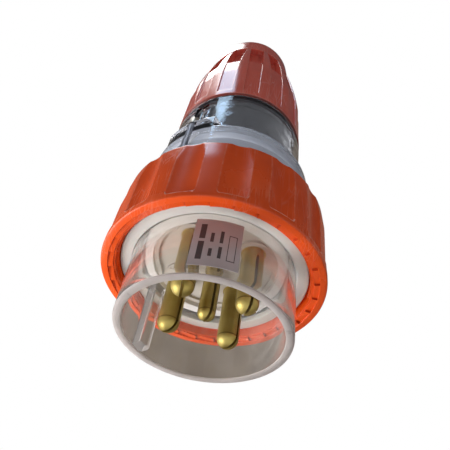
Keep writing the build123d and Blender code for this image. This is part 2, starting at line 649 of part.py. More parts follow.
def locking_ring():
    """Fluted ring that turns on the sleeve, with saw teeth on its front face."""
    lip_end = RING_FRONT_Z + RING_LIP_LENGTH
    body = turned(
        (RATCHET_OUTER_RADIUS, RING_FRONT_Z),
        (RING_LIP_RADIUS - RING_EDGE, RING_FRONT_Z),
        (RING_LIP_RADIUS, RING_FRONT_Z + RING_EDGE),
        (RING_LIP_RADIUS, lip_end),
        (RING_GRIP_RADIUS, lip_end),
        (RING_GRIP_RADIUS, RING_TAPER_Z),
        (RING_REAR_RADIUS, RING_REAR_Z),
        (RING_BORE, RING_REAR_Z),
        (RING_BORE, RING_BEARING_Z),
        (RING_THREAD_RADIUS, RING_BEARING_Z - RING_THREAD_RADIUS + RING_BORE),
        (RING_THREAD_RADIUS, RATCHET_COLLAR_Z),
        (RATCHET_INNER_RADIUS, RATCHET_COLLAR_Z),
        (RATCHET_INNER_RADIUS, RATCHET_Z),
        (RATCHET_OUTER_RADIUS, RATCHET_Z),
    )
    valley = RING_GRIP_RADIUS - RING_FLUTE_DEPTH
    flute = rod(RING_FLUTE_TOOL_RADIUS, lip_end, RING_REAR_Z, valley + RING_FLUTE_TOOL_RADIUS)
    body -= around(flute, RING_FLUTES, RING_FLUTE_ANGLE)
    return body - around(ratchet_cut(), RATCHET_TEETH, RATCHET_ANGLE)


def ratchet_cut():
    """Wedge between two saw teeth, deepening to a square step."""
    arc = 360 / RATCHET_TEETH
    half = RATCHET_OUTER_RADIUS * sin(radians(arc / 2))
    bottom = RATCHET_Z + RATCHET_STEP
    ramp = Polyline(
        (0, -half, RATCHET_Z),
        (0, half, RATCHET_Z),
        (0, half, bottom),
        close=True,
    )
    wedge = extrude(make_face(ramp), amount=RATCHET_OUTER_RADIUS, dir=(1, 0, 0))
    band = turned(
        (RATCHET_INNER_RADIUS, RATCHET_Z),
        (RATCHET_OUTER_RADIUS, RATCHET_Z),
        (RATCHET_OUTER_RADIUS, bottom),
        (RATCHET_INNER_RADIUS, bottom),
    )
    return Rot(0, 0, arc / 2) * (wedge & band)


def rating_label():
    """Thin curved label on the outside of the shroud."""
    inner = SHROUD_RADIUS + LABEL_GAP
    outer = inner + LABEL_THICKNESS
    face = make_face(
        Polyline(
            (inner, 0, LABEL_START_Z),
            (outer, 0, LABEL_START_Z),
            (outer, 0, LABEL_START_Z + LABEL_LENGTH),
            (inner, 0, LABEL_START_Z + LABEL_LENGTH),
            close=True,
        )
    )
    label = revolve(face, Axis.Z, revolution_arc=LABEL_ARC)
    return Rot(0, 0, LABEL_ANGLE - LABEL_ARC / 2) * label


def pins():
    """Each pin under its node name, with its own slit direction."""
    nodes = {}
    for (name, slit), angle in zip(PIN_SLIT_ANGLES.items(), PIN_ANGLES):
        x, y = polar(PIN_PITCH_RADIUS, angle)
        nodes[name] = Pos(x, y, 0) * contact_pin(PIN_RADIUS, PIN_EXPOSED, slit, angle)
    nodes["pin_neutral"] = contact_pin(
        NEUTRAL_RADIUS, NEUTRAL_EXPOSED, NEUTRAL_SLIT_ANGLE, NEUTRAL_SCREW_ANGLE
    )
    return nodes


def main():
    """Build every piece and write one file for each node."""
    os.makedirs("parts", exist_ok=True)
    nodes = {
        "front_shroud": front_shroud(),
        "rating_label": rating_label(),
        "flange_gasket": flange_gasket(),
        "pin_carrier": pin_carrier(),
        "pin_retainer": pin_retainer(),
        "retainer_screws": Compound(children=retainer_screws()),
        "terminal_screws": Compound(children=terminal_screws()),
        "body_seal": body_seal(),
        "rear_body": rear_body(),
        "body_screws": Compound(children=body_screws()),
        "screw_seals": Compound(children=screw_seals()),
        "cable_grommet": cable_grommet(),
        "slip_washer": slip_washer(),
        "gland_nut": gland_nut(),
        "locking_ring": locking_ring(),
    }
    nodes.update(pins())
    for name, shape in nodes.items():
        export_step(shape, f"parts/{name}.step")


main()
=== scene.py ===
"""Looks of a waterproof five-pin plug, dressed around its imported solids.

The plug stands on the rim of its clear shroud, with +Z along its axis. Sizes in the classes
are in millimetres and angles in degrees about +Z from +X, unless a name says otherwise.
"""
import logging
import math
from dataclasses import dataclass
from enum import Enum
from typing import Callable, Optional, Sequence, Union

import bmesh
import bpy
import numpy as np
from mathutils import Matrix, Vector


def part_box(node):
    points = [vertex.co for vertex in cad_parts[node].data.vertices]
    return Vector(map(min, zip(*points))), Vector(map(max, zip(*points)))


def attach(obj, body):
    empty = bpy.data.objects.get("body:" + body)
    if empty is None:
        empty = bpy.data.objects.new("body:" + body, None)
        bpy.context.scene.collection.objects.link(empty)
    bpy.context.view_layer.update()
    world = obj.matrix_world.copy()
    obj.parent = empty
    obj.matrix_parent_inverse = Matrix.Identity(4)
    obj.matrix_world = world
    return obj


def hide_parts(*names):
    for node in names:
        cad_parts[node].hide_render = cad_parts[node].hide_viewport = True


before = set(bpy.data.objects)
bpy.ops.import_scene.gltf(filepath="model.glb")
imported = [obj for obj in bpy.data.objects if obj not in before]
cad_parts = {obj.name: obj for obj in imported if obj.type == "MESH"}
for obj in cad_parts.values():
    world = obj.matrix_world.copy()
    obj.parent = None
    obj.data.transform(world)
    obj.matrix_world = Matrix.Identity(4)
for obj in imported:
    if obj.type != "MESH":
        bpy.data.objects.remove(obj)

LOG = logging.getLogger("plug")
MM = 0.001
WELD = 1e-6
WEAR_AND_HIGHLIGHT = "wear_and_highlight"
PAINTED_SHADE = "painted_shade"
PRINT_MAP = "print"
FLAT_ANGLE = 0.3
SCUFF_SCALE = 420.0
SCUFF_PATCH = 60.0
SCUFF_DULLING = 0.35

Tone = tuple[float, float, float]
Span = tuple[float, float]
Point = tuple[float, float]
Bar = tuple[float, float, float, float]
Values = Union[float, np.ndarray]
RowMaker = Callable[..., None]
Feed = Union[bpy.types.NodeSocket, float, Sequence[float], bpy.types.Material, bpy.types.Object]


class Body(str, Enum):
    """The bodies that new pieces ride on."""

    HOUSING = "housing"
    RING = "ring"
    NUT = "nut"


class Slot(str, Enum):
    """The record's material slots, by name; no piece here takes them."""

    CLEAR = "clear_plastic"
    SMOKED = "smoked_clear_plastic"
    ORANGE = "orange_plastic"
    GASKET = "white_rubber"
    RUBBER = "black_rubber"
    BRASS = "brass"
    STEEL = "screw_steel"
    LABEL = "silver_label"


class Light(Enum):
    """Light Path outputs that a stage material asks about."""

    CAMERA = "Is Camera Ray"
    GLOSSY = "Is Glossy Ray"
    TRANSMISSION = "Is Transmission Ray"
    SHADOW = "Is Shadow Ray"


# Node trees


class Board:
    """A node tree with short ways to add, set and join nodes."""

    def __init__(self, tree: bpy.types.NodeTree) -> None:
        """Takes the tree that the nodes go into."""
        self.tree = tree

    def add(self, kind: str, feeds: Optional[dict] = None, **settings: object) -> bpy.types.Node:
        """Adds a node.

        Args:
            kind: Blender's name of the node type.
            feeds: values or sockets for its inputs, by name or number.
            settings: properties of the node itself.

        Returns:
            The new node.
        """
        node = self.tree.nodes.new(kind)
        for name, value in settings.items():
            setattr(node, name, value)
        for key, value in (feeds or {}).items():
            self.feed(node.inputs[key], value)
        return node

    def feed(self, socket: bpy.types.NodeSocket, value: Feed) -> None:
        """Joins a socket to the input, or sets the input's own value."""
        if isinstance(value, bpy.types.NodeSocket):
            self.tree.links.new(value, socket)
        else:
            socket.default_value = value

    def math(self, operation: str, *values: Feed) -> bpy.types.NodeSocket:
        """Adds a Math node and returns its output."""
        return self.add("ShaderNodeMath", dict(enumerate(values)), operation=operation).outputs[0]

    def blend(self, factor: Feed, first: Feed, second: Feed) -> bpy.types.NodeSocket:
        """Adds a colour Mix node and returns its output."""
        feeds = {0: factor, 6: first, 7: second}
        return self.add("ShaderNodeMix", feeds, data_type="RGBA").outputs[2]

    def span(self, value: Feed, source: Span, target: Span) -> bpy.types.NodeSocket:
        """Adds a clamped Map Range node and returns its output."""
        feeds = {0: value, 1: source[0], 2: source[1], 3: target[0], 4: target[1]}
        return self.add("ShaderNodeMapRange", feeds).outputs[0]

    def stretch(
        self, place: Feed, scale: Sequence[float], turn: Sequence[float] = (0.0, 0.0, 0.0)
    ) -> bpy.types.NodeSocket:
        """Adds a Mapping node and returns its output."""
        feeds = {"Vector": place, "Scale": scale, "Rotation": turn}
        return self.add("ShaderNodeMapping", feeds).outputs[0]

    def noise(self, place: Feed, scale: Feed, detail: float) -> bpy.types.NodeSocket:
        """Adds a Noise Texture node and returns its value."""
        feeds = {"Vector": place, "Scale": scale, "Detail": detail}
        return self.add("ShaderNodeTexNoise", feeds).outputs["Fac"]

    def close(self, shader: bpy.types.NodeSocket, kind: str = "ShaderNodeOutputMaterial") -> None:
        """Adds the tree's output and joins the shader to it."""
        self.add(kind, {"Surface": shader})


def open_group(name: str, kind: str, inputs: dict[str, str], outputs: dict[str, str]) -> tuple:
    """Starts a node group with named sockets.

    Args:
        name: name of the group.
        kind: tree type, for shaders or for geometry.
        inputs: kinds of the input sockets, by name.
        outputs: kinds of the output sockets, by name.

    Returns:
        The board of the group, its input node and its output node.
    """
    tree = bpy.data.node_groups.new(name, kind)
    for side, sockets in (("INPUT", inputs), ("OUTPUT", outputs)):
        for label, socket in sockets.items():
            tree.interface.new_socket(label, in_out=side, socket_type="NodeSocket" + socket)
    board = Board(tree)
    return board, board.add("NodeGroupInput"), board.add("NodeGroupOutput")


def rgba(tone: Tone) -> tuple[float, float, float, float]:
    """A tone with full alpha."""
    return (*tone, 1.0)


def new_material(name: str) -> tuple[bpy.types.Material, Board]:
    """Starts an empty node material and returns it with its board."""
    material = bpy.data.materials.new(name)
    material.use_nodes = True
    board = Board(material.node_tree)
    board.tree.nodes.clear()
    return material, board


# Surface effects shared by the finishes


class Effects:
    """Shader node groups that several finishes use."""

    def __init__(self) -> None:
        """Builds each group once."""
        self.mottle = self._mottle()
        self.scuffs = self._scuffs()
        self.grain = self._grain()

    @staticmethod
    def _mottle() -> bpy.types.NodeTree:
        """Slow cloudy change over a surface, from 0 to 1."""
        sockets = {"Place": "Vector", "Scale": "Float"}
        board, start, end = open_group("mottle", "ShaderNodeTree", sockets, {"Amount": "Float"})
        cloud = board.noise(start.outputs["Place"], start.outputs["Scale"], 5.0)
        board.feed(end.inputs["Amount"], board.span(cloud, (0.3, 0.7), (0.0, 1.0)))
        return board.tree

    @staticmethod
    def _scuffs() -> bpy.types.NodeTree:
        """Thin handling scratches and specks that gather in patches."""
        sockets = {"Place": "Vector", "Scale": "Float", "Patch": "Float"}
        board, start, end = open_group("scuffs", "ShaderNodeTree", sockets, {"Mask": "Float"})
        place, scale = start.outputs["Place"], start.outputs["Scale"]
        masks = []
        for turn in ((0.3, 0.5, 0.2), (1.1, 0.2, 0.9)):
            feeds = {"Vector": board.stretch(place, (1.0, 0.16, 0.09), turn), "Scale": scale}
            cracks = board.add("ShaderNodeTexVoronoi", feeds, feature="DISTANCE_TO_EDGE")
            masks.append(board.span(cracks.outputs["Distance"], (0.0, 0.035), (1.0, 0.0)))
        feeds = {"Vector": place, "Scale": board.math("MULTIPLY", scale, 3.2)}
        specks = board.add("ShaderNodeTexVoronoi", feeds)
        masks.append(board.span(specks.outputs["Distance"], (0.06, 0.16), (1.0, 0.0)))
        marks = board.math("MAXIMUM", board.math("MAXIMUM", masks[0], masks[1]), masks[2])
        patch = board.noise(place, start.outputs["Patch"], 3.0)
        reach = board.span(patch, (0.5, 0.68), (0.0, 1.0))
        board.feed(end.inputs["Mask"], board.math("MULTIPLY", marks, reach))
        return board.tree

    @staticmethod
    def _grain() -> bpy.types.NodeTree:
        """Fine relief of a moulded or turned surface."""
        sockets = {"Place": "Vector", "Scale": "Float"}
        board, start, end = open_group("grain", "ShaderNodeTree", sockets, {"Height": "Float"})
        grains = board.noise(start.outputs["Place"], start.outputs["Scale"], 3.0)
        board.feed(end.inputs["Height"], grains)
        return board.tree


EFFECTS = Effects()


@dataclass(frozen=True)
class Finish:
    """A procedural finish: two mottled tones, uneven gloss, fine relief, scuffs, wear with painted
    highlights, and painted shade.
    """

    name: str
    shade: Tone
    tint: Tone
    gloss: Span = (0.3, 0.42)
    mottle: float = 70.0
    grain: float = 900.0
    grain_stretch: Tone = (1.0, 1.0, 1.0)
    relief: float = 0.04
    scuffs: float = 0.0
    scuff_tone: Tone = (0.9, 0.8, 0.75)
    wear_and_highlight: float = 0.0
    wear_and_highlight_tone: Tone = (0.9, 0.8, 0.75)
    painted_shade_strength: float = 0.0
    painted_shade_tone: Tone = (0.34, 0.035, 0.012)
    metallic: float = 0.0
    transmission: float = 0.0
    ior: float = 1.5
    specular: float = 0.5
    softness: float = 0.0

    def material(self) -> bpy.types.Material:
        """Returns the finish's material, built on first use."""
        found = bpy.data.materials.get(self.name)
        if found is not None:
            return found
        material, board = new_material(self.name)
        shader = board.add("ShaderNodeBsdfPrincipled")
        self._set_constants(shader)
        place = board.add("ShaderNodeTexCoord").outputs["Object"]
        mottle = self._group(board, EFFECTS.mottle, Place=place, Scale=self.mottle)
        colour = board.blend(mottle, rgba(self.shade), rgba(self.tint))
        gloss = board.span(mottle, (0.0, 1.0), self.gloss)
        colour, gloss = self._mark(board, place, colour, gloss)
        board.feed(shader.inputs["Base Color"], colour)
        board.feed(shader.inputs["Roughness"], gloss)
        if self.relief:
            streaks = board.stretch(place, self.grain_stretch)
            height = self._group(board, EFFECTS.grain, Place=streaks, Scale=self.grain)
            feeds = {"Height": height, "Strength": self.relief, "Distance": MM}
            bump = board.add("ShaderNodeBump", feeds)
            board.feed(shader.inputs["Normal"], bump.outputs["Normal"])
        board.close(shader.outputs["BSDF"])
        return material

    def _set_constants(self, shader: bpy.types.Node) -> None:
        """Sets what is the same all over the surface."""
        values = {
            "Metallic": self.metallic,
            "Transmission Weight": self.transmission,
            "IOR": self.ior,
            "Specular IOR Level": self.specular,
            "Subsurface Weight": self.softness,
            "Subsurface Scale": MM,
        }
        for name, value in values.items():
            shader.inputs[name].default_value = value

    def _mark(self, board: Board, place: Feed, colour: Feed, gloss: Feed) -> tuple[Feed, Feed]:
        """Adds scuffs, worn edges with painted highlights and painted shade to the colour, and the
        scuffs to the gloss.
        """
        if self.scuffs:
            mask = self._group(
                board, EFFECTS.scuffs, Place=place, Scale=SCUFF_SCALE, Patch=SCUFF_PATCH
            )
            amount = board.math("MULTIPLY", mask, self.scuffs)
            colour = board.blend(amount, colour, rgba(self.scuff_tone))
            gloss = board.math("MULTIPLY_ADD", amount, SCUFF_DULLING, gloss)
        # Edge wear and painted highlight lines share this attribute and its light tone.
        if self.wear_and_highlight:
            edge = board.add("ShaderNodeAttribute", attribute_name=WEAR_AND_HIGHLIGHT).outputs["Fac"]
            uneven = self._group(board, EFFECTS.mottle, Place=place, Scale=SCUFF_SCALE)
            amount = board.math("MULTIPLY", board.math("MULTIPLY", edge, uneven), self.wear_and_highlight)
            colour = board.blend(amount, colour, rgba(self.wear_and_highlight_tone))
        # Painted shade: darkens the marked points as if they lay in shadow.
        if self.painted_shade_strength:
            corner = board.add("ShaderNodeAttribute", attribute_name=PAINTED_SHADE).outputs["Fac"]
            amount = board.math("MULTIPLY", corner, self.painted_shade_strength)
            colour = board.blend(amount, colour, rgba(self.painted_shade_tone))
        return colour, gloss

    @staticmethod
    def _group(board: Board, tree: bpy.types.NodeTree, **feeds: Feed) -> bpy.types.NodeSocket:
        """Places a shared effect and returns its first output."""
        node = board.add("ShaderNodeGroup", node_tree=tree)
        for name, value in feeds.items():
            board.feed(node.inputs[name], value)
        return node.outputs[0]


@dataclass(frozen=True)
class LabelFinish(Finish):
    """Satin film with a painted reflection that darkens it towards its far end, printed with plain
    bars and one empty frame.
    """

    # Painted reflection: the film fades to this tone towards its far end.
    painted_reflection_tone: Tone = (0.42, 0.3, 0.27)
    fade: tuple[Span, Span] = ((0.3, 1.0), (0.0, 0.8))
    ink: Tone = (0.02, 0.018, 0.02)
    ink_cover: float = 0.93
    bars: tuple[Bar, ...] = ()
    frame_bar: Bar = (0.0, 0.0, 0.0, 0.0)
    frame_line: float = 0.016

    def _mark(self, board: Board, place: Feed, colour: Feed, gloss: Feed) -> tuple[Feed, Feed]:
        """Adds the painted reflection's tone change and the print, which follow the label's own
        map.
        """
        print_map = board.add("ShaderNodeUVMap", uv_map=PRINT_MAP).outputs["UV"]
        parts = board.add("ShaderNodeSeparateXYZ", {0: print_map})
        across, along = parts.outputs["X"], parts.outputs["Y"]
        colour = board.blend(board.span(along, *self.fade), colour, rgba(self.painted_reflection_tone))
        ink = self._bar(board, across, along, self.frame_bar)
        low_u, low_v, high_u, high_v = self.frame_bar
        line = self.frame_line
        inside = (low_u + line, low_v + line, high_u - line, high_v - line)
        ink = board.math("SUBTRACT", ink, self._bar(board, across, along, inside))
        for bar in self.bars:
            ink = board.math("MAXIMUM", ink, self._bar(board, across, along, bar))
        cover = board.math("MULTIPLY", ink, self.ink_cover)
        return board.blend(cover, colour, rgba(self.ink)), gloss

    @staticmethod
    def _bar(board: Board, across: Feed, along: Feed, bar: Bar) -> bpy.types.NodeSocket:
        """Mask of one printed bar, given as its low and high corners on the map."""
        low_u, low_v, high_u, high_v = bar
        mask = None
        for value, low, high in ((across, low_u, high_u), (along, low_v, high_v)):
            for operation, limit in (("GREATER_THAN", low), ("LESS_THAN", high)):
                side = board.math(operation, value, limit)
                mask = side if mask is None else board.math("MULTIPLY", mask, side)
        return mask


RING_ORANGE = Finish(
    "ring_moulding",
    shade=(0.72, 0.072, 0.006),
    tint=(0.84, 0.094, 0.008),
    gloss=(0.2, 0.3),
    mottle=45.0,
    relief=0.03,
    scuffs=0.12,
    scuff_tone=(0.95, 0.62, 0.5),
    # The wear tone also paints the highlight lines at the flutes' front steps.
    wear_and_highlight=1.0,
    wear_and_highlight_tone=(1.0, 0.62, 0.48),
    # Painted shade at the teeth's steps.
    painted_shade_strength=0.6,
    specular=0.35,
)
# The ring's orange plastic, painted lighter and pinker: a painted sheen for the haze the nut
# reflects.
NUT_ORANGE_SHEEN = Finish(
    "nut_moulding_painted_sheen",
    shade=(0.64, 0.115, 0.078),
    tint=(0.76, 0.14, 0.095),
    gloss=(0.12, 0.2),
    mottle=45.0,
    relief=0.03,
    scuffs=0.22,
    scuff_tone=(0.85, 0.6, 0.55),
    wear_and_highlight=0.4,
    wear_and_highlight_tone=(0.8, 0.36, 0.26),
    # Painted shade on the base face.
    painted_shade_strength=0.85,
    painted_shade_tone=(0.08, 0.015, 0.012),
)
CLEAR = Finish(
    "clear_moulding",
    shade=(0.86, 0.835, 0.81),
    tint=(0.91, 0.885, 0.86),
    gloss=(0.02, 0.05),
    mottle=60.0,
    relief=0.0,
    transmission=0.95,
    ior=1.42,
)
FROSTED_RIM = Finish(
    "frosted_rim",
    shade=(0.54, 0.5, 0.485),
    tint=(0.64, 0.595, 0.58),
    gloss=(0.25, 0.4),
    mottle=120.0,
    relief=0.05,
    transmission=0.08,
    ior=1.42,
)
RIB_CLEAR = Finish(
    "rib_moulding",
    shade=(0.68, 0.64, 0.62),
    tint=(0.76, 0.72, 0.7),
    gloss=(0.08, 0.16),
    mottle=90.0,
    relief=0.0,
    transmission=0.72,
    ior=1.42,
)
MILKY = Finish(
    "milky_foot",
    shade=(0.62, 0.595, 0.575),
    tint=(0.7, 0.675, 0.655),
    gloss=(0.4, 0.5),
    mottle=120.0,
)
SLEEVE = Finish(
    "sleeve_bore",
    shade=(0.62, 0.64, 0.7),
    tint=(0.72, 0.74, 0.8),
    gloss=(0.3, 0.42),
    mottle=60.0,
    relief=0.03,
    transmission=0.3,
    ior=1.42,
)
SMOKED = Finish(
    "smoked_moulding",
    shade=(0.72, 0.74, 0.8),
    tint=(0.8, 0.82, 0.87),
    gloss=(0.03, 0.08),
    mottle=60.0,
    grain=160.0,
    relief=0.15,
    transmission=1.0,
    ior=1.42,
    specular=0.3,
)
INSULATOR = Finish(
    "cream_insulator",
    shade=(0.44, 0.405, 0.36),
    tint=(0.53, 0.49, 0.44),
    gloss=(0.35, 0.5),
    mottle=90.0,
    relief=0.06,
    scuffs=0.25,
    scuff_tone=(0.3, 0.24, 0.17),
)
WHITE_RUBBER = Finish(
    "white_gasket",
    shade=(0.53, 0.52, 0.49),
    tint=(0.6, 0.59, 0.56),
    gloss=(0.5, 0.62),
    relief=0.08,
    softness=0.15,
    scuffs=0.1,
    scuff_tone=(0.45, 0.42, 0.38),
)
BLACK_RUBBER = Finish(
    "black_rubber",
    shade=(0.012, 0.012, 0.015),
    tint=(0.03, 0.03, 0.036),
    gloss=(0.4, 0.6),
    relief=0.1,
)
BRASS = Finish(
    "turned_brass",
    shade=(0.33, 0.245, 0.06),
    tint=(0.47, 0.375, 0.125),
    gloss=(0.36, 0.5),
    mottle=120.0,
    grain=420.0,
    grain_stretch=(4.0, 4.0, 0.4),
    relief=0.04,
    scuffs=0.12,
    scuff_tone=(0.16, 0.1, 0.03),
    # Painted shade: a dark line where each dome meets its shaft.
    painted_shade_strength=0.75,
    painted_shade_tone=(0.07, 0.05, 0.015),
    metallic=1.0,
)
STEEL = Finish(
    "screw_steel",
    shade=(0.13, 0.085, 0.06),
    tint=(0.28, 0.22, 0.18),
    gloss=(0.28, 0.45),
    mottle=300.0,
    relief=0.05,
    metallic=1.0,
)
# Painted shade and light: the screws' shafts take a second tone of the same steel, set for how they
# look inside the clear lug.
SHAFT_PAINTED_TONE = Finish(
    "screw_shaft_painted_tone",
    shade=(0.4, 0.42, 0.47),
    tint=(0.54, 0.56, 0.61),
    gloss=(0.3, 0.42),
    mottle=300.0,
    metallic=1.0,
)
NYLON = Finish(
    "nylon_washer",
    shade=(0.62, 0.6, 0.54),
    tint=(0.72, 0.7, 0.64),
    gloss=(0.4, 0.5),
    softness=0.2,
)
LABEL = LabelFinish(
    "silver_film",
    shade=(0.47, 0.435, 0.445),
    tint=(0.55, 0.515, 0.525),
    gloss=(0.3, 0.4),
    mottle=90.0,
    relief=0.02,
    bars=(
        (0.13, 0.12, 0.25, 0.5),
        (0.13, 0.56, 0.25, 0.88),
        (0.36, 0.2, 0.43, 0.36),
        (0.36, 0.5, 0.43, 0.7),
        (0.55, 0.18, 0.62, 0.42),
        (0.55, 0.5, 0.62, 0.76),
    ),
    frame_bar=(0.73, 0.16, 0.9, 0.7),
)


# Meshes


class Skin:
    """Points and faces of one piece, gathered in millimetres."""

    def __init__(self) -> None:
        """Starts with nothing."""
        self.points: list[np.ndarray] = []
        self.wear_and_highlight: list[np.ndarray] = []
        self.painted_shade: list[np.ndarray] = []
        self.faces: list[tuple[int, ...]] = []
        self.finishes: list[int] = []
        self.total = 0

    def grid(
        self,
        rows: np.ndarray,
        closed_rows: bool = False,
        closed_columns: bool = False,
        wear_and_highlight: Optional[np.ndarray] = None,
        painted_shade: Optional[np.ndarray] = None,
        finishes: Optional[Sequence[int]] = None,
    ) -> None:
        """Adds a sheet of quads over rows of points.

        Args:
            rows: points by row and column.
            closed_rows: whether the last row meets the first.
            closed_columns: whether the last column meets the first.
            wear_and_highlight: amount of wear and of painted highlight at each point, from 0 to 1.
            painted_shade: amount of painted shade at each point, from 0 to 1.
            finishes: material number of the band after each row.
        """
        row_count, column_count = rows.shape[:2]
        base = self.total
        for i in range(row_count if closed_rows else row_count - 1):
            below = base + i * column_count
            above = base + (i + 1) % row_count * column_count
            for j in range(column_count if closed_columns else column_count - 1):
                k = (j + 1) % column_count
                self.faces.append((below + j, below + k, above + k, above + j))
                self.finishes.append(finishes[i] if finishes is not None else 0)
        self.points.append(rows.reshape(-1, 3))
        clean = np.zeros(rows.shape[:2])
        self.wear_and_highlight.append((clean if wear_and_highlight is None else wear_and_highlight).ravel())
        self.painted_shade.append((clean if painted_shade is None else painted_shade).ravel())
        self.total += row_count * column_count

    def mesh(self, name: str) -> bpy.types.Mesh:
        """Returns the gathered points and faces as a mesh in metres."""
        mesh = bpy.data.meshes.new(name)
        mesh.from_pydata((np.concatenate(self.points) * MM).tolist(), [], self.faces)
        mesh.polygons.foreach_set("material_index", self.finishes)
        for label, parts in ((WEAR_AND_HIGHLIGHT, self.wear_and_highlight), (PAINTED_SHADE, self.painted_shade)):
            layer = mesh.attributes.new(label, "FLOAT", "POINT")
            layer.data.foreach_set("value", np.concatenate(parts))
        return mesh

    def piece(self, name: str, crease: float) -> bpy.types.Object:
        """Returns the closed skin as a new object."""
        return new_object(name, close_up(self.mesh(name), crease))


def close_up(mesh: bpy.types.Mesh, crease: float) -> bpy.types.Mesh:
    """Welds a mesh, points its faces outwards and smooths it up to a crease angle."""
    shape = bmesh.new()
    shape.from_mesh(mesh)
    bmesh.ops.remove_doubles(shape, verts=shape.verts, dist=WELD)
    bmesh.ops.dissolve_degenerate(shape, dist=WELD / 10, edges=shape.edges)
    bmesh.ops.recalc_face_normals(shape, faces=shape.faces)
    shape.to_mesh(mesh)
    shape.free()
    mesh.shade_smooth()
    mesh.set_sharp_from_angle(angle=math.radians(crease))
    return mesh


def new_object(name: str, mesh: bpy.types.Mesh) -> bpy.types.Object:
    """Links a new object at the origin."""
    made = bpy.data.objects.new(name, mesh)
    bpy.context.scene.collection.objects.link(made)
    return made


def finished(source: bpy.types.Object) -> bpy.types.Mesh:
    """Returns the object's mesh as its modifiers leave it."""
    bpy.context.view_layer.update()
    graph = bpy.context.evaluated_depsgraph_get()
    return bpy.data.meshes.new_from_object(source.evaluated_get(graph))


def settle(
    piece: bpy.types.Object,
    body: Body,
    finishes: Sequence[Finish],
    nodes: Sequence[str] = (),
) -> bpy.types.Object:
    """Dresses a piece and ties it to the frame.

    Args:
        piece: the new object.
        body: the body that carries it.
        finishes: its finishes, in the order of its material numbers.
        nodes: the solids that it stands for.

    Returns:
        The same piece.
    """
    numbers = [face.material_index for face in piece.data.polygons]
    piece.data.materials.clear()
    for finish in finishes:
        piece.data.materials.append(finish.material())
    if len(finishes) > 1:
        piece.data.polygons.foreach_set("material_index", numbers)
    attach(piece, body.value)
    if nodes:
        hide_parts(*nodes)
    LOG.info("%s rides on %s, %d faces", piece.name, body.value, len(piece.data.polygons))
    return piece


def rounded(points: Sequence[Point], radius: float, steps: int = 3) -> list[Point]:
    """Rounds every corner of a closed outline.

    Args:
        points: corners as (radius, height).
        radius: size of the rounding, cut down at short sides.
        steps: pieces of each arc.

    Returns:
        The outline with an arc at each corner.
    """
    corners = [Vector(point) for point in points]
    outline: list[Point] = []
    for i, corner in enumerate(corners):
        before = corners[i - 1] - corner
        after = corners[(i + 1) % len(corners)] - corner
        cut = min(radius, before.length * 0.45, after.length * 0.45)
        start = corner + before.normalized() * cut
        end = corner + after.normalized() * cut
        for step in range(steps + 1):
            t = step / steps
            bend = start * (1 - t) ** 2 + corner * (2 * t * (1 - t)) + end * t**2
            outline.append((bend.x, bend.y))
    return outline


def turned_rows(outline: Sequence[Point], angles: np.ndarray) -> np.ndarray:
    """Points of an outline turned about Z to each angle, by outline point and angle."""
    shape = np.array(outline)
    turn = np.radians(angles)
    x = shape[:, :1] * np.cos(turn)
    y = shape[:, :1] * np.sin(turn)
    z = np.repeat(shape[:, 1:], len(angles), axis=1)
    return np.stack([x, y, z], axis=-1)


def polar_rows(radii: np.ndarray, heights: np.ndarray, angles: np.ndarray) -> np.ndarray:
    """Points with their own radius and height at each row and angle."""
    turn = np.radians(angles)
    return np.stack([radii * np.cos(turn), radii * np.sin(turn), heights], axis=-1)


def spun(points: np.ndarray, angle: float) -> np.ndarray:
    """Points turned about Z."""
    return points @ np.array(Matrix.Rotation(math.radians(angle), 3, "Z")).T


def soft_min(first: np.ndarray, second: np.ndarray, blend: float) -> np.ndarray:
    """The smaller of two values, with a rounded change from one to the other."""
    gap = np.clip(0.5 + 0.5 * (second - first) / blend, 0.0, 1.0)
    return second * (1 - gap) + first * gap - blend * gap * (1 - gap)


def ease(value: np.ndarray, low: float, high: float) -> np.ndarray:
    """Smooth step from 0 at low to 1 at high."""
    t = np.clip((value - low) / (high - low), 0.0, 1.0)
    return t * t * (3 - 2 * t)


def full_circle(count: int) -> np.ndarray:
    """Evenly spread angles, without a second one at 360."""
    return np.arange(count) * 360.0 / count


def box_mm(node: str) -> tuple[np.ndarray, np.ndarray]:
    """Lowest and highest corner of a solid, in millimetres."""
    low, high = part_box(node)
    return np.array(low) / MM, np.array(high) / MM


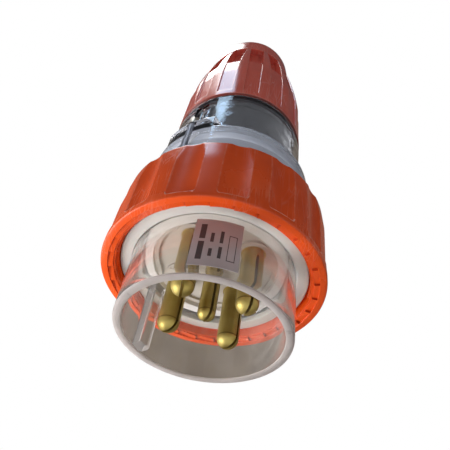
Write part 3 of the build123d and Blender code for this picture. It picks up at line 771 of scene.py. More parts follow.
class Patterns:
    """Geometry node trees for what repeats or follows a path."""

    helix_points = 96

    def __init__(self) -> None:
        """Builds each tree once."""
        self.round = self._round()
        self.helix = self._helix()
        self.places = self._places()

    @staticmethod
    def _end(
        board: Board, start: bpy.types.Node, end: bpy.types.Node, shape: Feed
    ) -> bpy.types.NodeTree:
        """Gives the shape its finish, puts it out and returns the tree."""
        feeds = {"Geometry": shape, "Material": start.outputs["Finish"]}
        board.feed(end.inputs[0], board.add("GeometryNodeSetMaterial", feeds).outputs[0])
        return board.tree

    @staticmethod
    def _set_out(board: Board, points: Feed, shape: Feed, angle: Feed) -> bpy.types.NodeSocket:
        """Sets a real copy of the shape on each point, turned about Z by the angle."""
        feeds = {"Axis": (0.0, 0.0, 1.0), "Angle": angle}
        turn = board.add("FunctionNodeAxisAngleToRotation", feeds)
        feeds = {"Points": points, "Instance": shape, "Rotation": turn.outputs[0]}
        copies = board.add("GeometryNodeInstanceOnPoints", feeds)
        return board.add("GeometryNodeRealizeInstances", {0: copies.outputs[0]}).outputs[0]

    def _round(self) -> bpy.types.NodeTree:
        """Copies of one sector about Z, welded into one skin."""
        inputs = {
            "Sector": "Geometry",
            "Count": "Int",
            "First Angle": "Float",
            "Weld": "Float",
            "Finish": "Material",
        }
        board, start, end = open_group(
            "spread_round", "GeometryNodeTree", inputs, {"Skin": "Geometry"}
        )
        points = board.add("GeometryNodePoints", {"Count": start.outputs["Count"]})
        step = board.math("DIVIDE", 2 * math.pi, start.outputs["Count"])
        index = board.add("GeometryNodeInputIndex").outputs[0]
        angle = board.math("MULTIPLY_ADD", index, step, start.outputs["First Angle"])
        solid = self._set_out(board, points.outputs[0], start.outputs["Sector"], angle)
        feeds = {"Geometry": solid, "Distance": start.outputs["Weld"]}
        skin = board.add("GeometryNodeMergeByDistance", feeds)
        return self._end(board, start, end, skin.outputs[0])

    def _helix(self) -> bpy.types.NodeTree:
        """A ridge of rectangular section along a helix about Z."""
        sizes = ("Radius", "Low", "Height", "Turns", "Depth", "Width")
        inputs = {"Carrier": "Geometry", **dict.fromkeys(sizes, "Float"), "Finish": "Material"}
        board, start, end = open_group(
            "helical_ridge", "GeometryNodeTree", inputs, {"Ridge": "Geometry"}
        )
        feeds = {
            "Resolution": self.helix_points,
            "Rotations": start.outputs["Turns"],
            "Start Radius": start.outputs["Radius"],
            "End Radius": start.outputs["Radius"],
            "Height": start.outputs["Height"],
        }
        path = board.add("GeometryNodeCurveSpiral", feeds)
        lift = board.add("ShaderNodeCombineXYZ", {"Z": start.outputs["Low"]})
        feeds = {"Geometry": path.outputs[0], "Translation": lift.outputs[0]}
        raised = board.add("GeometryNodeTransform", feeds)
        upright = board.add("GeometryNodeSetCurveNormal", {0: raised.outputs[0]}, mode="Z_UP")
        feeds = {"Width": start.outputs["Depth"], "Height": start.outputs["Width"]}
        section = board.add("GeometryNodeCurvePrimitiveQuadrilateral", feeds)
        feeds = {
            "Curve": upright.outputs[0],
            "Profile Curve": section.outputs[0],
            "Fill Caps": True,
        }
        ridge = board.add("GeometryNodeCurveToMesh", feeds)
        return self._end(board, start, end, ridge.outputs[0])

    def _places(self) -> bpy.types.NodeTree:
        """One pattern piece at each point, turned by a seeded random angle."""
        inputs = {"Places": "Geometry", "Pattern": "Object", "Seed": "Int", "Finish": "Material"}
        board, start, end = open_group(
            "set_in_places", "GeometryNodeTree", inputs, {"Set": "Geometry"}
        )
        pattern = board.add("GeometryNodeObjectInfo", {"Object": start.outputs["Pattern"]})
        feeds = {"Seed": start.outputs["Seed"]}
        chance = board.add("FunctionNodeRandomValue", feeds, data_type="FLOAT")
        angle = board.math("MULTIPLY", chance.outputs[1], math.pi)
        places, shape = start.outputs["Places"], pattern.outputs["Geometry"]
        return self._end(board, start, end, self._set_out(board, places, shape, angle))

    def spread(
        self, sector: bpy.types.Mesh, name: str, count: int, angle: float, finish: Finish
    ) -> bpy.types.Mesh:
        """Sets copies of a sector round Z from an angle on, as one welded mesh."""
        return self.grow(
            self.round,
            sector,
            name,
            Count=count,
            First_Angle=math.radians(angle),
            Weld=WELD,
            Finish=finish.material(),
        )

    @staticmethod
    def grow(
        tree: bpy.types.NodeTree, seed: bpy.types.Mesh, name: str, **values: Feed
    ) -> bpy.types.Mesh:
        """Runs a tree on a mesh.

        Args:
            tree: the geometry node tree.
            seed: mesh that the tree starts from.
            name: name of the result.
            values: the tree's inputs, by name with _ for a space.

        Returns:
            The result as a plain mesh.
        """
        carrier = new_object(name + "_pattern", seed)
        modifier = carrier.modifiers.new(name, "NODES")
        modifier.node_group = tree
        items = [item for item in tree.interface.items_tree if item.in_out == "INPUT"]
        keys = {item.name: item.identifier for item in items}
        for label, value in values.items():
            modifier[keys[label.replace("_", " ")]] = value
        mesh = finished(carrier)
        bpy.data.objects.remove(carrier)
        mesh.name = name
        return mesh


PATTERNS = Patterns()


def copy_of_solid(
    node: str, name: str, crease: float = 30.0, edge: float = 0.0
) -> bpy.types.Object:
    """Smoothed copy of a solid, with its edges broken.

    Args:
        node: the solid.
        name: name of the copy.
        crease: angle above which an edge stays sharp.
        edge: width of the broken edges, or 0 for none.

    Returns:
        The copy as a new object.
    """
    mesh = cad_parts[node].data.copy()
    mesh.name = name
    shape = bmesh.new()
    shape.from_mesh(mesh)
    bmesh.ops.remove_doubles(shape, verts=shape.verts, dist=WELD)
    flat = math.radians(FLAT_ANGLE)
    bmesh.ops.dissolve_limit(shape, angle_limit=flat, verts=shape.verts, edges=shape.edges)
    shape.to_mesh(mesh)
    shape.free()
    mesh.shade_smooth()
    mesh.set_sharp_from_angle(angle=math.radians(crease))
    made = new_object(name, mesh)
    if edge:
        bevel = made.modifiers.new("broken_edges", "BEVEL")
        bevel.width = edge * MM
        bevel.segments = 2
        bevel.limit_method = "ANGLE"
        bevel.angle_limit = math.radians(crease + 5.0)
        bevel.harden_normals = False
    return made


# Sub-assemblies


@dataclass
class LockingRing:
    """Orange ring with a fluted grip, a saw-toothed front face and a coarse thread inside."""

    flutes: int = 15
    flute_angle: float = -87.9
    flute_depth: float = 1.5
    flute_tool: float = 11.5
    flute_corner: float = 1.5
    flute_corner_angle: float = 2.2
    lip_rise: float = 0.3
    lip_length: float = 2.4
    lip_edge: float = 0.5
    wall: float = 4.8
    taper: float = 1.0
    taper_length: float = 9.4
    bore: float = 34.2
    bearing: float = 4.4
    ratchet: Span = (36.2, 38.1)
    ratchet_setback: float = 0.2
    ratchet_step: float = 0.8
    ratchet_angle: float = -85.7
    tooth_edge: float = 0.12
    collar_setback: float = 1.2
    thread_pitch: float = 4.2
    thread_turns: float = 4.0
    thread_depth: float = 0.9
    thread_width: float = 1.5
    edge_wear: float = 0.22
    rear_wear: float = 0.7
    tooth_wear: float = 0.06
    painted_shade_arc: float = 1.6
    painted_shade_slack: float = 0.1
    tooth_slack: float = 0.02

    def __post_init__(self) -> None:
        """Takes the main sizes from the solid."""
        low, high = box_mm("locking_ring")
        self.front = float(low[2])
        self.rear = float(high[2])
        self.lip = float(high[0])
        self.grip = self.lip - self.lip_rise
        self.thread = self.grip - self.wall
        self.half_sector = 180.0 / self.flutes
        self.first_tooth = self.ratchet_angle - self.flute_angle

    def build(self) -> None:
        """Makes the ring and its thread."""
        sector, name = self._sector(), "locking_ring_skin"
        mesh = PATTERNS.spread(sector, name, self.flutes, self.flute_angle, RING_ORANGE)
        ring = new_object("fluted_ring", close_up(mesh, 40.0))
        settle(ring, Body.RING, [RING_ORANGE], ["locking_ring"])
        self._thread()

    def _columns(self) -> np.ndarray:
        """Angles across one sector, crowded at the flute's edges and the teeth's steps."""
        edge = self._flute_half_angle()
        angles = list(np.linspace(-self.half_sector, self.half_sector, 41))
        for side in (-edge, edge):
            angles += [side + shift for shift in (-0.5, -0.25, -0.1, 0.1, 0.25, 0.5)]
        for step in (self.first_tooth, self.first_tooth - self.half_sector):
            angles += [step + shift for shift in (-1.6, -0.8, -0.22, -0.07, 0.07, 0.22)]
        return np.unique(np.round(angles, 4))

    def _flute_half_angle(self) -> float:
        """Angle from a flute's middle to its edge on the grip."""
        centre = self.grip - self.flute_depth + self.flute_tool
        cosine = (self.grip**2 + centre**2 - self.flute_tool**2) / (2 * self.grip * centre)
        return math.degrees(math.acos(cosine))

    def _flute_radius(self, angles: np.ndarray) -> np.ndarray:
        """Radius of the flute's hollow at each angle, and far out where it doesn't reach."""
        centre = self.grip - self.flute_depth + self.flute_tool
        turn = np.radians(angles)
        inside = self.flute_tool**2 - (centre * np.sin(turn)) ** 2
        hollow = centre * np.cos(turn) - np.sqrt(np.maximum(inside, 0.0))
        return np.where(inside > 0, hollow, self.grip + self.flute_depth)

    def _sector(self) -> bpy.types.Mesh:
        """Skin of one flute and the teeth in front of it, with the flute on +X."""
        angles = self._columns()
        flat = np.ones_like(angles)
        rows: list[tuple[np.ndarray, np.ndarray, np.ndarray]] = []

        def ring_row(radius: Values, height: Values, wear_and_highlight: float = 0.0) -> None:
            """Adds a row all round the sector."""
            rows.append((flat * radius, flat * height, flat * wear_and_highlight))

        self._front_rows(ring_row, angles)
        self._grip_rows(rows, angles)
        self._rear_rows(ring_row)
        radii, heights, wear_and_highlight = (np.array(part) for part in zip(*rows))
        skin = Skin()
        points = polar_rows(radii, heights, angles)
        painted_shade = self._painted_shade_mask(radii, heights, angles)
        skin.grid(points, closed_rows=True, wear_and_highlight=wear_and_highlight, painted_shade=painted_shade)
        return skin.mesh("ring_sector")

    def _painted_shade_mask(self, radii: np.ndarray, heights: np.ndarray, angles: np.ndarray) -> np.ndarray:
        """Painted shade on the teeth, darkest at each step and fading away on its deep side."""
        inner, outer = self.ratchet
        between = (radii > inner - self.tooth_slack) & (radii < outer + self.tooth_slack)
        in_teeth = between & (heights < self.front + self.collar_setback)
        turned = self.first_tooth - angles + self.painted_shade_slack
        ahead = np.mod(turned, self.half_sector) - self.painted_shade_slack
        fade = np.clip(1.0 - ahead / self.painted_shade_arc, 0.0, 1.0)
        return in_teeth * fade * (ahead < self.painted_shade_arc)

    def _front_rows(self, ring_row: RowMaker, angles: np.ndarray) -> None:
        """Collar, saw teeth and lip, from the bore outwards."""
        ramp = np.mod(angles - self.first_tooth, self.half_sector) / self.half_sector
        face = self.front + self.ratchet_setback + self.ratchet_step * ramp
        collar = self.front + self.collar_setback
        inner, outer = self.ratchet
        soft, edge = self.tooth_edge, self.lip_edge
        ring_row(self.thread, collar + soft)
        ring_row(self.thread + soft, collar)
        ring_row(inner - soft / 2, collar)
        ring_row(inner, collar - soft / 2)
        ring_row(inner, face + soft / 2, self.tooth_wear)
        ring_row(inner + soft, face)
        ring_row(outer - soft / 2, face)
        ring_row(outer, face - soft / 2)
        ring_row(outer, self.front + soft, self.tooth_wear)
        ring_row(outer + soft, self.front)
        for share in (0.0, 0.35, 0.7, 1.0):
            turn = share * math.pi / 2
            radius = self.lip - edge + edge * math.sin(turn)
            ring_row(radius, self.front + edge - edge * math.cos(turn))
        ring_row(self.lip, self.front + self.lip_length - 0.35)

    def _grip_rows(self, rows: list, angles: np.ndarray) -> None:
        """Fluted grip, from the lip to the rear edge."""
        flute = self._flute_radius(angles)
        edge = self._flute_half_angle()
        start = self.front + self.lip_length
        taper_start = self.rear - self.taper_length
        heights = [start - 0.15, start - 0.05, start, start + 0.05, start + 0.1]
        heights += list(np.linspace(start + 0.15, start + self.flute_corner + 0.15, 9))
        heights += list(np.linspace(start + 3.0, self.rear - 1.2, 11))
        rear_round = [(0.55, 0.0), (0.25, 0.06), (0.08, 0.22), (0.0, 0.5)]
        stations = [(height, 0.0) for height in heights]
        stations += [(self.rear - back, cut) for back, cut in rear_round]
        near_edge = np.exp(-(((np.abs(angles) - edge) / 0.35) ** 2))
        turn_in = np.clip((np.abs(angles) - edge) / self.flute_corner_angle + 1.0, 0.0, 1.0)
        lift = self.flute_corner * (1.0 - np.sqrt(1.0 - turn_in**2))
        for height, cut in stations:
            narrowing = np.clip((height - taper_start) / self.taper_length, 0.0, 1.0)
            grip = self.grip - self.taper * narrowing
            body = soft_min(np.full_like(angles, grip), flute, 0.08)
            share = ease(height - lift, start - 0.05, start + 0.15)
            radius = self.lip * (1 - share) + body * share - cut
            # Painted highlight: a light line along the lip's rear edge inside each flute.
            flute_step_highlight = np.exp(-(((height - start - lift + 0.1) / 0.36) ** 2))
            flute_step_highlight = flute_step_highlight * (np.abs(angles) < edge)
            wear_and_highlight = np.maximum(self.edge_wear * near_edge * share, flute_step_highlight)
            wear_and_highlight = np.maximum(wear_and_highlight, self.rear_wear * (cut > 0.0))
            rows.append((radius, np.full_like(angles, height), wear_and_highlight))

    def _rear_rows(self, ring_row: RowMaker) -> None:
        """Rear face and the bore, back to the collar."""
        ring_row(self.bore + 3.0, self.rear)
        ring_row(self.bore + 0.4, self.rear)
        ring_row(self.bore + 0.1, self.rear - 0.1)
        ring_row(self.bore, self.rear - 0.4)
        ring_row(self.bore, self.rear - self.bearing)
        ring_row(self.thread, self.rear - self.bearing - self.thread + self.bore)

    def _thread(self) -> None:
        """Coarse thread on the inside of the ring."""
        low = self.front + self.collar_setback + self.thread_width / 2 + 0.1
        mesh = PATTERNS.grow(
            PATTERNS.helix,
            bpy.data.meshes.new("ring_thread_seed"),
            "ring_thread_skin",
            Radius=(self.thread + 0.05 - self.thread_depth / 2) * MM,
            Low=low * MM,
            Height=self.thread_pitch * self.thread_turns * MM,
            Turns=self.thread_turns,
            Depth=self.thread_depth * MM,
            Width=self.thread_width * MM,
            Finish=RING_ORANGE.material(),
        )
        thread = new_object("ring_thread", close_up(mesh, 30.0))
        settle(thread, Body.RING, [RING_ORANGE])


@dataclass
class GlandNut:
    """Orange domed cap nut: flutes that deepen into pockets below a plain collar."""

    flutes: int = 15
    flute_angle: float = -87.1
    flute_half_width: float = 3.5
    flute_depth: float = 0.8
    flute_margin: float = 3.6
    flute_edge: tuple[Span, ...] = (
        (0.12, 0.01),
        (0.03, 0.06),
        (0.0, 0.2),
        (-0.04, 0.86),
        (-0.12, 0.96),
        (-0.4, 1.0),
    )
    ridge_margin: float = 0.28
    worn_line: Span = (0.1, 0.15)
    painted_shade_height: float = 0.1
    skirt_length: float = 26.2
    skirt_taper: float = 0.5
    dome_mid: Span = (16.0, 2.1)
    dome: Span = (37.0, 6.65)
    collar_taper: float = 1.4
    tip_round: float = 1.6
    pocket_offset: float = 10.5
    pocket_depth: Span = (6.5, 3.7)
    bore: float = 13.5
    plunger: Span = (16.5, 20.5)
    plunger_low: float = 13.0
    cavity: Span = (25.4, 29.2)
    thread: Span = (27.5, 16.7)

    def __post_init__(self) -> None:
        """Takes the main sizes from the solid."""
        low, high = box_mm("gland_nut")
        self.base_z = float(low[2])
        self.tip_z = float(high[2])
        self.base_radius = float(high[0])
        self.waist_z = self.base_z + self.skirt_length
        self.waist = self.base_radius - self.skirt_taper
        self.collar_z = self.waist_z + self.dome[0]
        self.collar = self.waist - self.dome[1]
        self.pocket_z = self.waist_z + self.pocket_offset
        self.half_sector = 180.0 / self.flutes
        self._fit_dome()

    def _fit_dome(self) -> None:
        """Centre and radius of the dome's arc through its three points."""
        points = [
            complex(self.waist, self.waist_z),
            complex(self.waist - self.dome_mid[1], self.waist_z + self.dome_mid[0]),
            complex(self.collar, self.collar_z),
        ]
        first, second, third = points
        share = (third - first) / (second - first)
        centre = (second - first) * (share - abs(share) ** 2) / (2j * share.imag) + first
        self.dome_centre = (centre.real, centre.imag)
        self.dome_radius = abs(first - centre)

    def build(self) -> None:
        """Makes the nut."""
        sector, name = self._sector(), "gland_nut_skin"
        mesh = PATTERNS.spread(sector, name, self.flutes, self.flute_angle, NUT_ORANGE_SHEEN)
        nut = new_object("domed_nut", close_up(mesh, 40.0))
        settle(nut, Body.NUT, [NUT_ORANGE_SHEEN], ["gland_nut"])

    def _radius(self, z: float) -> float:
        """Outer radius on the ridges at a height."""
        if z <= self.waist_z:
            share = (z - self.base_z) / self.skirt_length
            return self.base_radius - self.skirt_taper * share
        if z <= self.collar_z:
            x, y = self.dome_centre
            side = 1.0 if self.waist > x else -1.0
            return x + side * math.sqrt(self.dome_radius**2 - (z - y) ** 2)
        straight = self.tip_z - self.tip_round - self.collar_z
        share = min((z - self.collar_z) / straight, 1.0)
        return self.collar - self.collar_taper * share

    def _floor(self, z: float) -> float:
        """Distance of a flute's floor from the axis at a height."""
        lip = self.waist - self.dome_mid[1] / 2 - self.flute_depth
        if z <= self.waist_z:
            return self._radius(z) - self.flute_depth
        if z <= self.pocket_z:
            share = (z - self.waist_z) / self.pocket_offset
            return (self.waist - self.flute_depth) * (1 - share) + lip * share
        share = (z - self.pocket_z) / (self.collar_z - self.pocket_z)
        low = self.waist - self.pocket_depth[0]
        high = self.collar - self.pocket_depth[1]
        return low * (1 - share) + high * share

    def _lateral(self) -> tuple[np.ndarray, np.ndarray, np.ndarray]:
        """Points across one sector: place on the ridge, distance across and share of the depth."""
        half = self.flute_half_width
        side = [(ridge, half + self.ridge_margin, 0.0) for ridge in (1.0, 0.66, 0.33, 0.0)]
        side += [(0.0, half + shift, depth) for shift, depth in self.flute_edge]
        side.append((0.0, half * 0.5, 1.0))
        left = [(ridge, -across, depth) for ridge, across, depth in side]
        full = left + [(0.0, 0.0, 1.0)] + side[::-1]
        ridge, across, depth = (np.array(part) for part in zip(*full))
        return ridge, across, depth

    def _stations(self) -> list[tuple[float, float]]:
        """Heights of the outer rows, each with how deep the flute is there."""
        start = self.base_z + self.flute_margin
        run_in = ((-0.06, 0.03), (0.04, 0.3), (0.14, 0.85), (0.3, 1.0))
        run_out = ((-0.12, 0.97), (-0.02, 0.6), (0.08, 0.05), (0.25, 0.0))
        rows = [(self.base_z + lift, 0.0) for lift in (0.2, 0.4, 1.2, 2.4, 3.3)]
        rows += [(start + shift, depth) for shift, depth in run_in]
        rows += [(z, 1.0) for z in np.linspace(start + 2.0, self.waist_z, 9)]
        rows += [(z, 1.0) for z in np.linspace(self.waist_z + 1.2, self.pocket_z - 0.15, 8)]
        rows += [(self.pocket_z - 0.04, 1.0), (self.pocket_z + 0.04, 1.0)]
        rows += [(z, 1.0) for z in np.linspace(self.pocket_z + 1.0, self.collar_z - 0.4, 18)]
        rows += [(self.collar_z + shift, depth) for shift, depth in run_out]
        rows += [(z, 0.0) for z in np.linspace(self.collar_z + 2.0, self.tip_z - self.tip_round, 5)]
        return rows

    def _outer_row(self, radius: float, floor: float, depth: float, z: float) -> np.ndarray:
        """One row of points across the sector."""
        ridge, across, deep = self._lateral()
        edge = radius * math.sin(math.radians(self.half_sector))
        lateral = across + np.sign(across) * ridge * np.maximum(edge - np.abs(across), 0.0)
        skin = np.sqrt(np.maximum(radius**2 - lateral**2, 0.0))
        sunk = np.minimum(skin, floor)
        forward = skin + (sunk - skin) * deep * depth
        return np.stack([forward, lateral, np.full_like(lateral, z)], axis=-1)

    def _sector(self) -> bpy.types.Mesh:
        """Skin of one flute, with its middle on +X."""
        rows = [
            self._outer_row(self._radius(z), self._floor(z), depth, z)
            for z, depth in self._stations()
        ]
        tip = self._radius(self.tip_z)
        for share in (0.35, 0.7, 1.0):
            turn = share * math.pi / 2
            radius = tip - self.tip_round * (1 - math.cos(turn))
            height = self.tip_z - self.tip_round * (1 - math.sin(turn))
            rows.append(self._outer_row(radius, radius, 0.0, height))
        outside = np.array(rows)
        angles = np.degrees(np.arctan2(outside[0, :, 1], outside[0, :, 0]))
        inside = turned_rows(self._inside(), angles)
        ridge, across, _ = self._lateral()
        offset, spread = self.worn_line
        rim = np.exp(-(((np.abs(across) - self.flute_half_width - offset) / spread) ** 2))
        rim = rim * (ridge == 0)
        wear_and_highlight = np.concatenate([np.tile(rim, (len(outside), 1)), np.zeros(inside.shape[:2])])
        points = np.concatenate([outside, inside])
        # Painted shade: the base face is darkened as if it lay in shadow.
        painted_shade = (points[:, :, 2] < self.base_z + self.painted_shade_height) * 1.0
        skin = Skin()
        skin.grid(points, closed_rows=True, wear_and_highlight=wear_and_highlight, painted_shade=painted_shade)
        return skin.mesh("nut_sector")

    def _inside(self) -> list[Point]:
        """Bore, plunger, cavity and thread root, from the tip back to the base."""
        plunger_bore, plunger = self.plunger
        thread, thread_run = self.thread
        cavity, cavity_run = self.cavity
        low = self.base_z + self.plunger_low
        return [
            (self.bore + 0.8, self.tip_z),
            (self.bore + 0.2, self.tip_z - 0.2),
            (self.bore, self.tip_z - 0.8),
            (self.bore, self.pocket_z),
            (plunger_bore, self.base_z + thread_run),
            (plunger_bore, low + 0.2),
            (plunger_bore + 0.2, low),
            (plunger - 0.2, low),
            (plunger, low + 0.2),
            (plunger, self.base_z + cavity_run),
            (cavity, self.base_z + cavity_run),
            (cavity, self.base_z + thread_run),
            (thread, self.base_z + thread_run),
            (thread, self.base_z + 0.3),
            (thread + 0.3, self.base_z),
            (self.base_radius - 0.3, self.base_z),
            (self.base_radius - 0.1, self.base_z + 0.06),
        ]


@dataclass
class FrontShroud:
    """Clear tube round the pins: frosted rim, key rib, floor lip and base flange."""

    wall: float = 2.9
    edge: float = 0.45
    rib_width: float = 5.4
    rib_height: float = 3.8
    rib_setback: float = 0.9
    rib_angle: float = 144.2
    rib_foot: float = 0.5
    gasket_reach: float = 4.45
    lip: float = 23.3
    lip_z: Span = (28.0, 30.0)
    carrier_bore: float = 26.1
    flange_front: float = 28.5
    columns: int = 144

    def __post_init__(self) -> None:
        """Takes the main sizes from the solids."""
        high = box_mm("front_shroud")[1]
        self.flange = float(high[0])
        self.rear = float(high[2])
        self.radius = round(float(box_mm("flange_gasket")[1][0]) - self.gasket_reach, 3)
        self.bore = self.radius - self.wall

    def build(self) -> None:
        """Makes the shroud."""
        shroud = self._skin().piece("clear_shroud", 32.0)
        finishes = [CLEAR, FROSTED_RIM, RIB_CLEAR, MILKY]
        settle(shroud, Body.HOUSING, finishes, ["front_shroud"])
        shroud.visible_shadow = False

    def _rib_columns(self) -> tuple[np.ndarray, np.ndarray]:
        """Distances across the rib and how far each stands out of the wall."""
        half = self.rib_width / 2
        edge = ((self.rib_foot, 0.0), (0.15, 0.03), (0.0, 0.12), (-0.03, 0.9), (-0.35, 1.0))
        side = [(half + shift, out) for shift, out in edge]
        left = [(-across, out) for across, out in side]
        full = left + [(0.0, 1.0)] + side[::-1]
        across, out = (np.array(part) for part in zip(*full))
        return across, out

    def _skin(self) -> Skin:
        """Closed skin of the shroud, with its inner wall raised along the rib."""
        across, out = self._rib_columns()
        half_arc = math.degrees(math.asin((self.rib_width / 2 + self.rib_foot) / self.bore))
        rib_angles = np.degrees(np.arcsin(across / self.bore))
        rest = np.linspace(half_arc, 360.0 - half_arc, self.columns)[1:-1]
        angles = np.concatenate([rib_angles, rest])
        stand = np.concatenate([out, np.zeros_like(rest)])
        sideways = np.concatenate([across, np.zeros_like(rest)])
        low_lip, high_lip = self.lip_z
        outline = [
            (self.bore + self.edge, 0.0, 0.0),
            (self.bore + self.edge * 0.3, self.edge * 0.3, 0.0),
            (self.bore, self.edge, 0.0),
            (self.bore, self.rib_setback - 0.15, 0.0),
            (self.bore, self.rib_setback, 0.9),
            (self.bore, self.rib_setback + 0.15, 1.0),
        ]
        outline += [(self.bore, z, 1.0) for z in np.linspace(4.0, low_lip - 0.6, 7)]
        outline += [
            (self.bore, low_lip - 0.25, 1.0),
            (self.bore - 0.25, low_lip, 1.0),
            (self.lip + 0.15, low_lip, 0.0),
            (self.lip, low_lip + 0.15, 0.0),
            (self.lip, high_lip, 0.0),
            (self.carrier_bore, high_lip, 0.0),
            (self.carrier_bore, self.rear, 0.0),
            (self.flange - 0.3, self.rear, 0.0),
            (self.flange, self.rear - 0.3, 0.0),
            (self.flange, self.flange_front + 0.3, 0.0),
            (self.flange - 0.3, self.flange_front, 0.0),
            (self.radius + 0.3, self.flange_front, 0.0),
            (self.radius, self.flange_front - 0.3, 0.0),
        ]
        outline += [(self.radius, z, 0.0) for z in np.linspace(24.0, 3.0, 6)]
        outline += [
            (self.radius, self.edge, 0.0),
            (self.radius - self.edge * 0.3, self.edge * 0.3, 0.0),
            (self.radius - self.edge, 0.0, 0.0),
        ]
        turn = np.radians(angles)
        top = self.bore - self.rib_height
        rows = []
        for radius, z, rib in outline:
            forward = radius * np.cos(turn)
            lateral = radius * np.sin(turn)
            raised = stand * rib
            sunk = forward + (np.minimum(top, forward) - forward) * raised
            forward = np.where(raised > 0, sunk, forward)
            lateral = np.where(raised > 0, sideways, lateral)
            rows.append(np.stack([forward, lateral, np.full_like(forward, z)], axis=-1))
        points = np.array(rows)
        skin = Skin()
        skin.grid(spun(points, self.rib_angle), closed_rows=True, closed_columns=True)
        skin.finishes = [self._finish_of(face, points.reshape(-1, 3)) for face in skin.faces]
        return skin

    def _finish_of(self, face: Sequence[int], points: np.ndarray) -> int:
        """Material number of a face: clear, frosted rim, rib or milky foot."""
        x, y, z = points[list(face)].mean(axis=0)
        radius = math.hypot(x, y)
        if z < self.edge * 0.8:
            return 1
        if radius < self.bore - 0.3 and z < self.lip_z[0] - 0.2:
            return 2
        hidden = z > self.lip_z[0] - 0.1 and radius > self.lip - 0.1
        return 3 if hidden else 0


@dataclass
class SplitPin:
    """Round brass pin: domed tip, slit shaft, shank, collar and terminal barrel."""

    node: str
    slit_angle: float
    slit_width: float = 0.95
    floor_z: float = 30.0
    slit_root: float = 3.0
    shank_extra: float = 0.4
    collar_extra: float = 1.6
    collar_z: Span = (40.0, 43.0)
    barrel_inset: float = 0.5
    barrel_reach: float = 5.55
    barrel_edge: float = 0.3
    wire_bore: float = 3.0
    wire_bore_depth: float = 14.0
    half_columns: int = 26
    dome_rows: int = 14
    shaft_rows: int = 6
    shade_line_band: float = 0.4

    def __post_init__(self) -> None:
        """Takes the place, the length and the radius from the solid."""
        low, high = box_mm(self.node)
        self.centre = (low + high) / 2
        self.radius = float(high[0] - low[0]) / 2 - self.collar_extra
        self.tip = float(low[2])
        self.end = float(high[2])

    def build(self) -> None:
        """Makes the pin."""
        skin = Skin()
        halves = [self._half(start) for start in (0.0, math.pi)]
        for half in halves:
            skin.grid(self._set(half), painted_shade=self._painted_shade_line(half))
            skin.grid(self._set(half[:, [0, -1]]))
        root = np.array([half[-1, [0, -1]] for half in halves])
        skin.grid(self._set(np.array([root[0], root[1][::-1]])))
        skin.grid(self._set(self._solid(halves)), closed_columns=True)
        pin = skin.piece("split_" + self.node, 32.0)
        settle(pin, Body.HOUSING, [BRASS], [self.node])

    def _half(self, start: float) -> np.ndarray:
        """Points of one half of the slit shaft, from the tip to the root of the slit."""
        gap = self.slit_width / 2
        lean = np.linspace(math.asin(gap / self.radius), math.pi / 2, self.dome_rows)
        radii = list(self.radius * np.sin(lean)) + [self.radius] * self.shaft_rows
        heights = list(self.tip + self.radius * (1 - np.cos(lean)))
        start_z = self.tip + self.radius + self.shade_line_band
        heights += list(np.linspace(start_z, self.floor_z - self.slit_root, self.shaft_rows))
        rows = []
        for radius, z in zip(radii, heights):
            edge = math.asin(min(gap / radius, 1.0))
            turn = start + np.linspace(edge, math.pi - edge, self.half_columns)
            place = [radius * np.cos(turn), radius * np.sin(turn), np.full_like(turn, z)]
            rows.append(np.stack(place, axis=-1))
        return np.array(rows)

    def _painted_shade_line(self, half: np.ndarray) -> np.ndarray:
        """Painted shade: a dark line where the dome meets the shaft."""
        above = np.abs(half[..., 2] - self.tip - self.radius)
        return (above < self.shade_line_band / 10).astype(float)

    def _solid(self, halves: Sequence[np.ndarray]) -> np.ndarray:
        """Points of the rest of the pin, from the root of the slit to the barrel's end."""
        first = np.concatenate([half[-1] for half in halves])
        turn = np.degrees(np.arctan2(first[:, 1], first[:, 0]))
        low, high = self.collar_z
        collar = self.radius + self.collar_extra
        barrel = collar - self.barrel_inset - (collar - self.barrel_reach) / 2
        outline = [
            (self.radius, self.floor_z - self.slit_root),
            (self.radius, self.floor_z),
            (self.radius + self.shank_extra, self.floor_z),
            (self.radius + self.shank_extra, low),
            (collar, low),
            (collar, high),
            (barrel, high),
            (barrel, self.end - self.barrel_edge),
            (barrel - self.barrel_edge, self.end),
            (self.wire_bore, self.end),
            (self.wire_bore, self.end - self.wire_bore_depth),
            (0.0, self.end - self.wire_bore_depth),
        ]
        return turned_rows(outline, turn)

    def _set(self, points: np.ndarray) -> np.ndarray:
        """Turns points to the slit's direction and moves them to the pin's place."""
        return spun(points, self.slit_angle) + np.array([self.centre[0], self.centre[1], 0.0])


@dataclass
class PinSet:
    """The five contact pins, each with its own slit direction."""

    slits: tuple[tuple[str, float], ...] = (
        ("pin_phase_1", -40.0),
        ("pin_earth", -40.0),
        ("pin_phase_2", -87.0),
        ("pin_phase_3", -73.0),
        ("pin_neutral", -62.0),
    )

    def build(self) -> None:
        """Makes each pin."""
        for node, angle in self.slits:
            SplitPin(node, angle).build()


@dataclass
class FaceGasket:
    """White face gasket round the foot of the shroud."""

    width: float = 4.4
    edge: float = 0.45
    columns: int = 160

    def build(self) -> None:
        """Makes the gasket."""
        low, high = box_mm("flange_gasket")
        outer = float(high[0])
        inner = outer - self.width
        corners = [(inner, low[2]), (outer, low[2]), (outer, high[2]), (inner, high[2])]
        rows = turned_rows(rounded(corners, self.edge), full_circle(self.columns))
        skin = Skin()
        skin.grid(rows, closed_rows=True, closed_columns=True)
        gasket = skin.piece("face_gasket", 40.0)
        settle(gasket, Body.HOUSING, [WHITE_RUBBER], ["flange_gasket"])


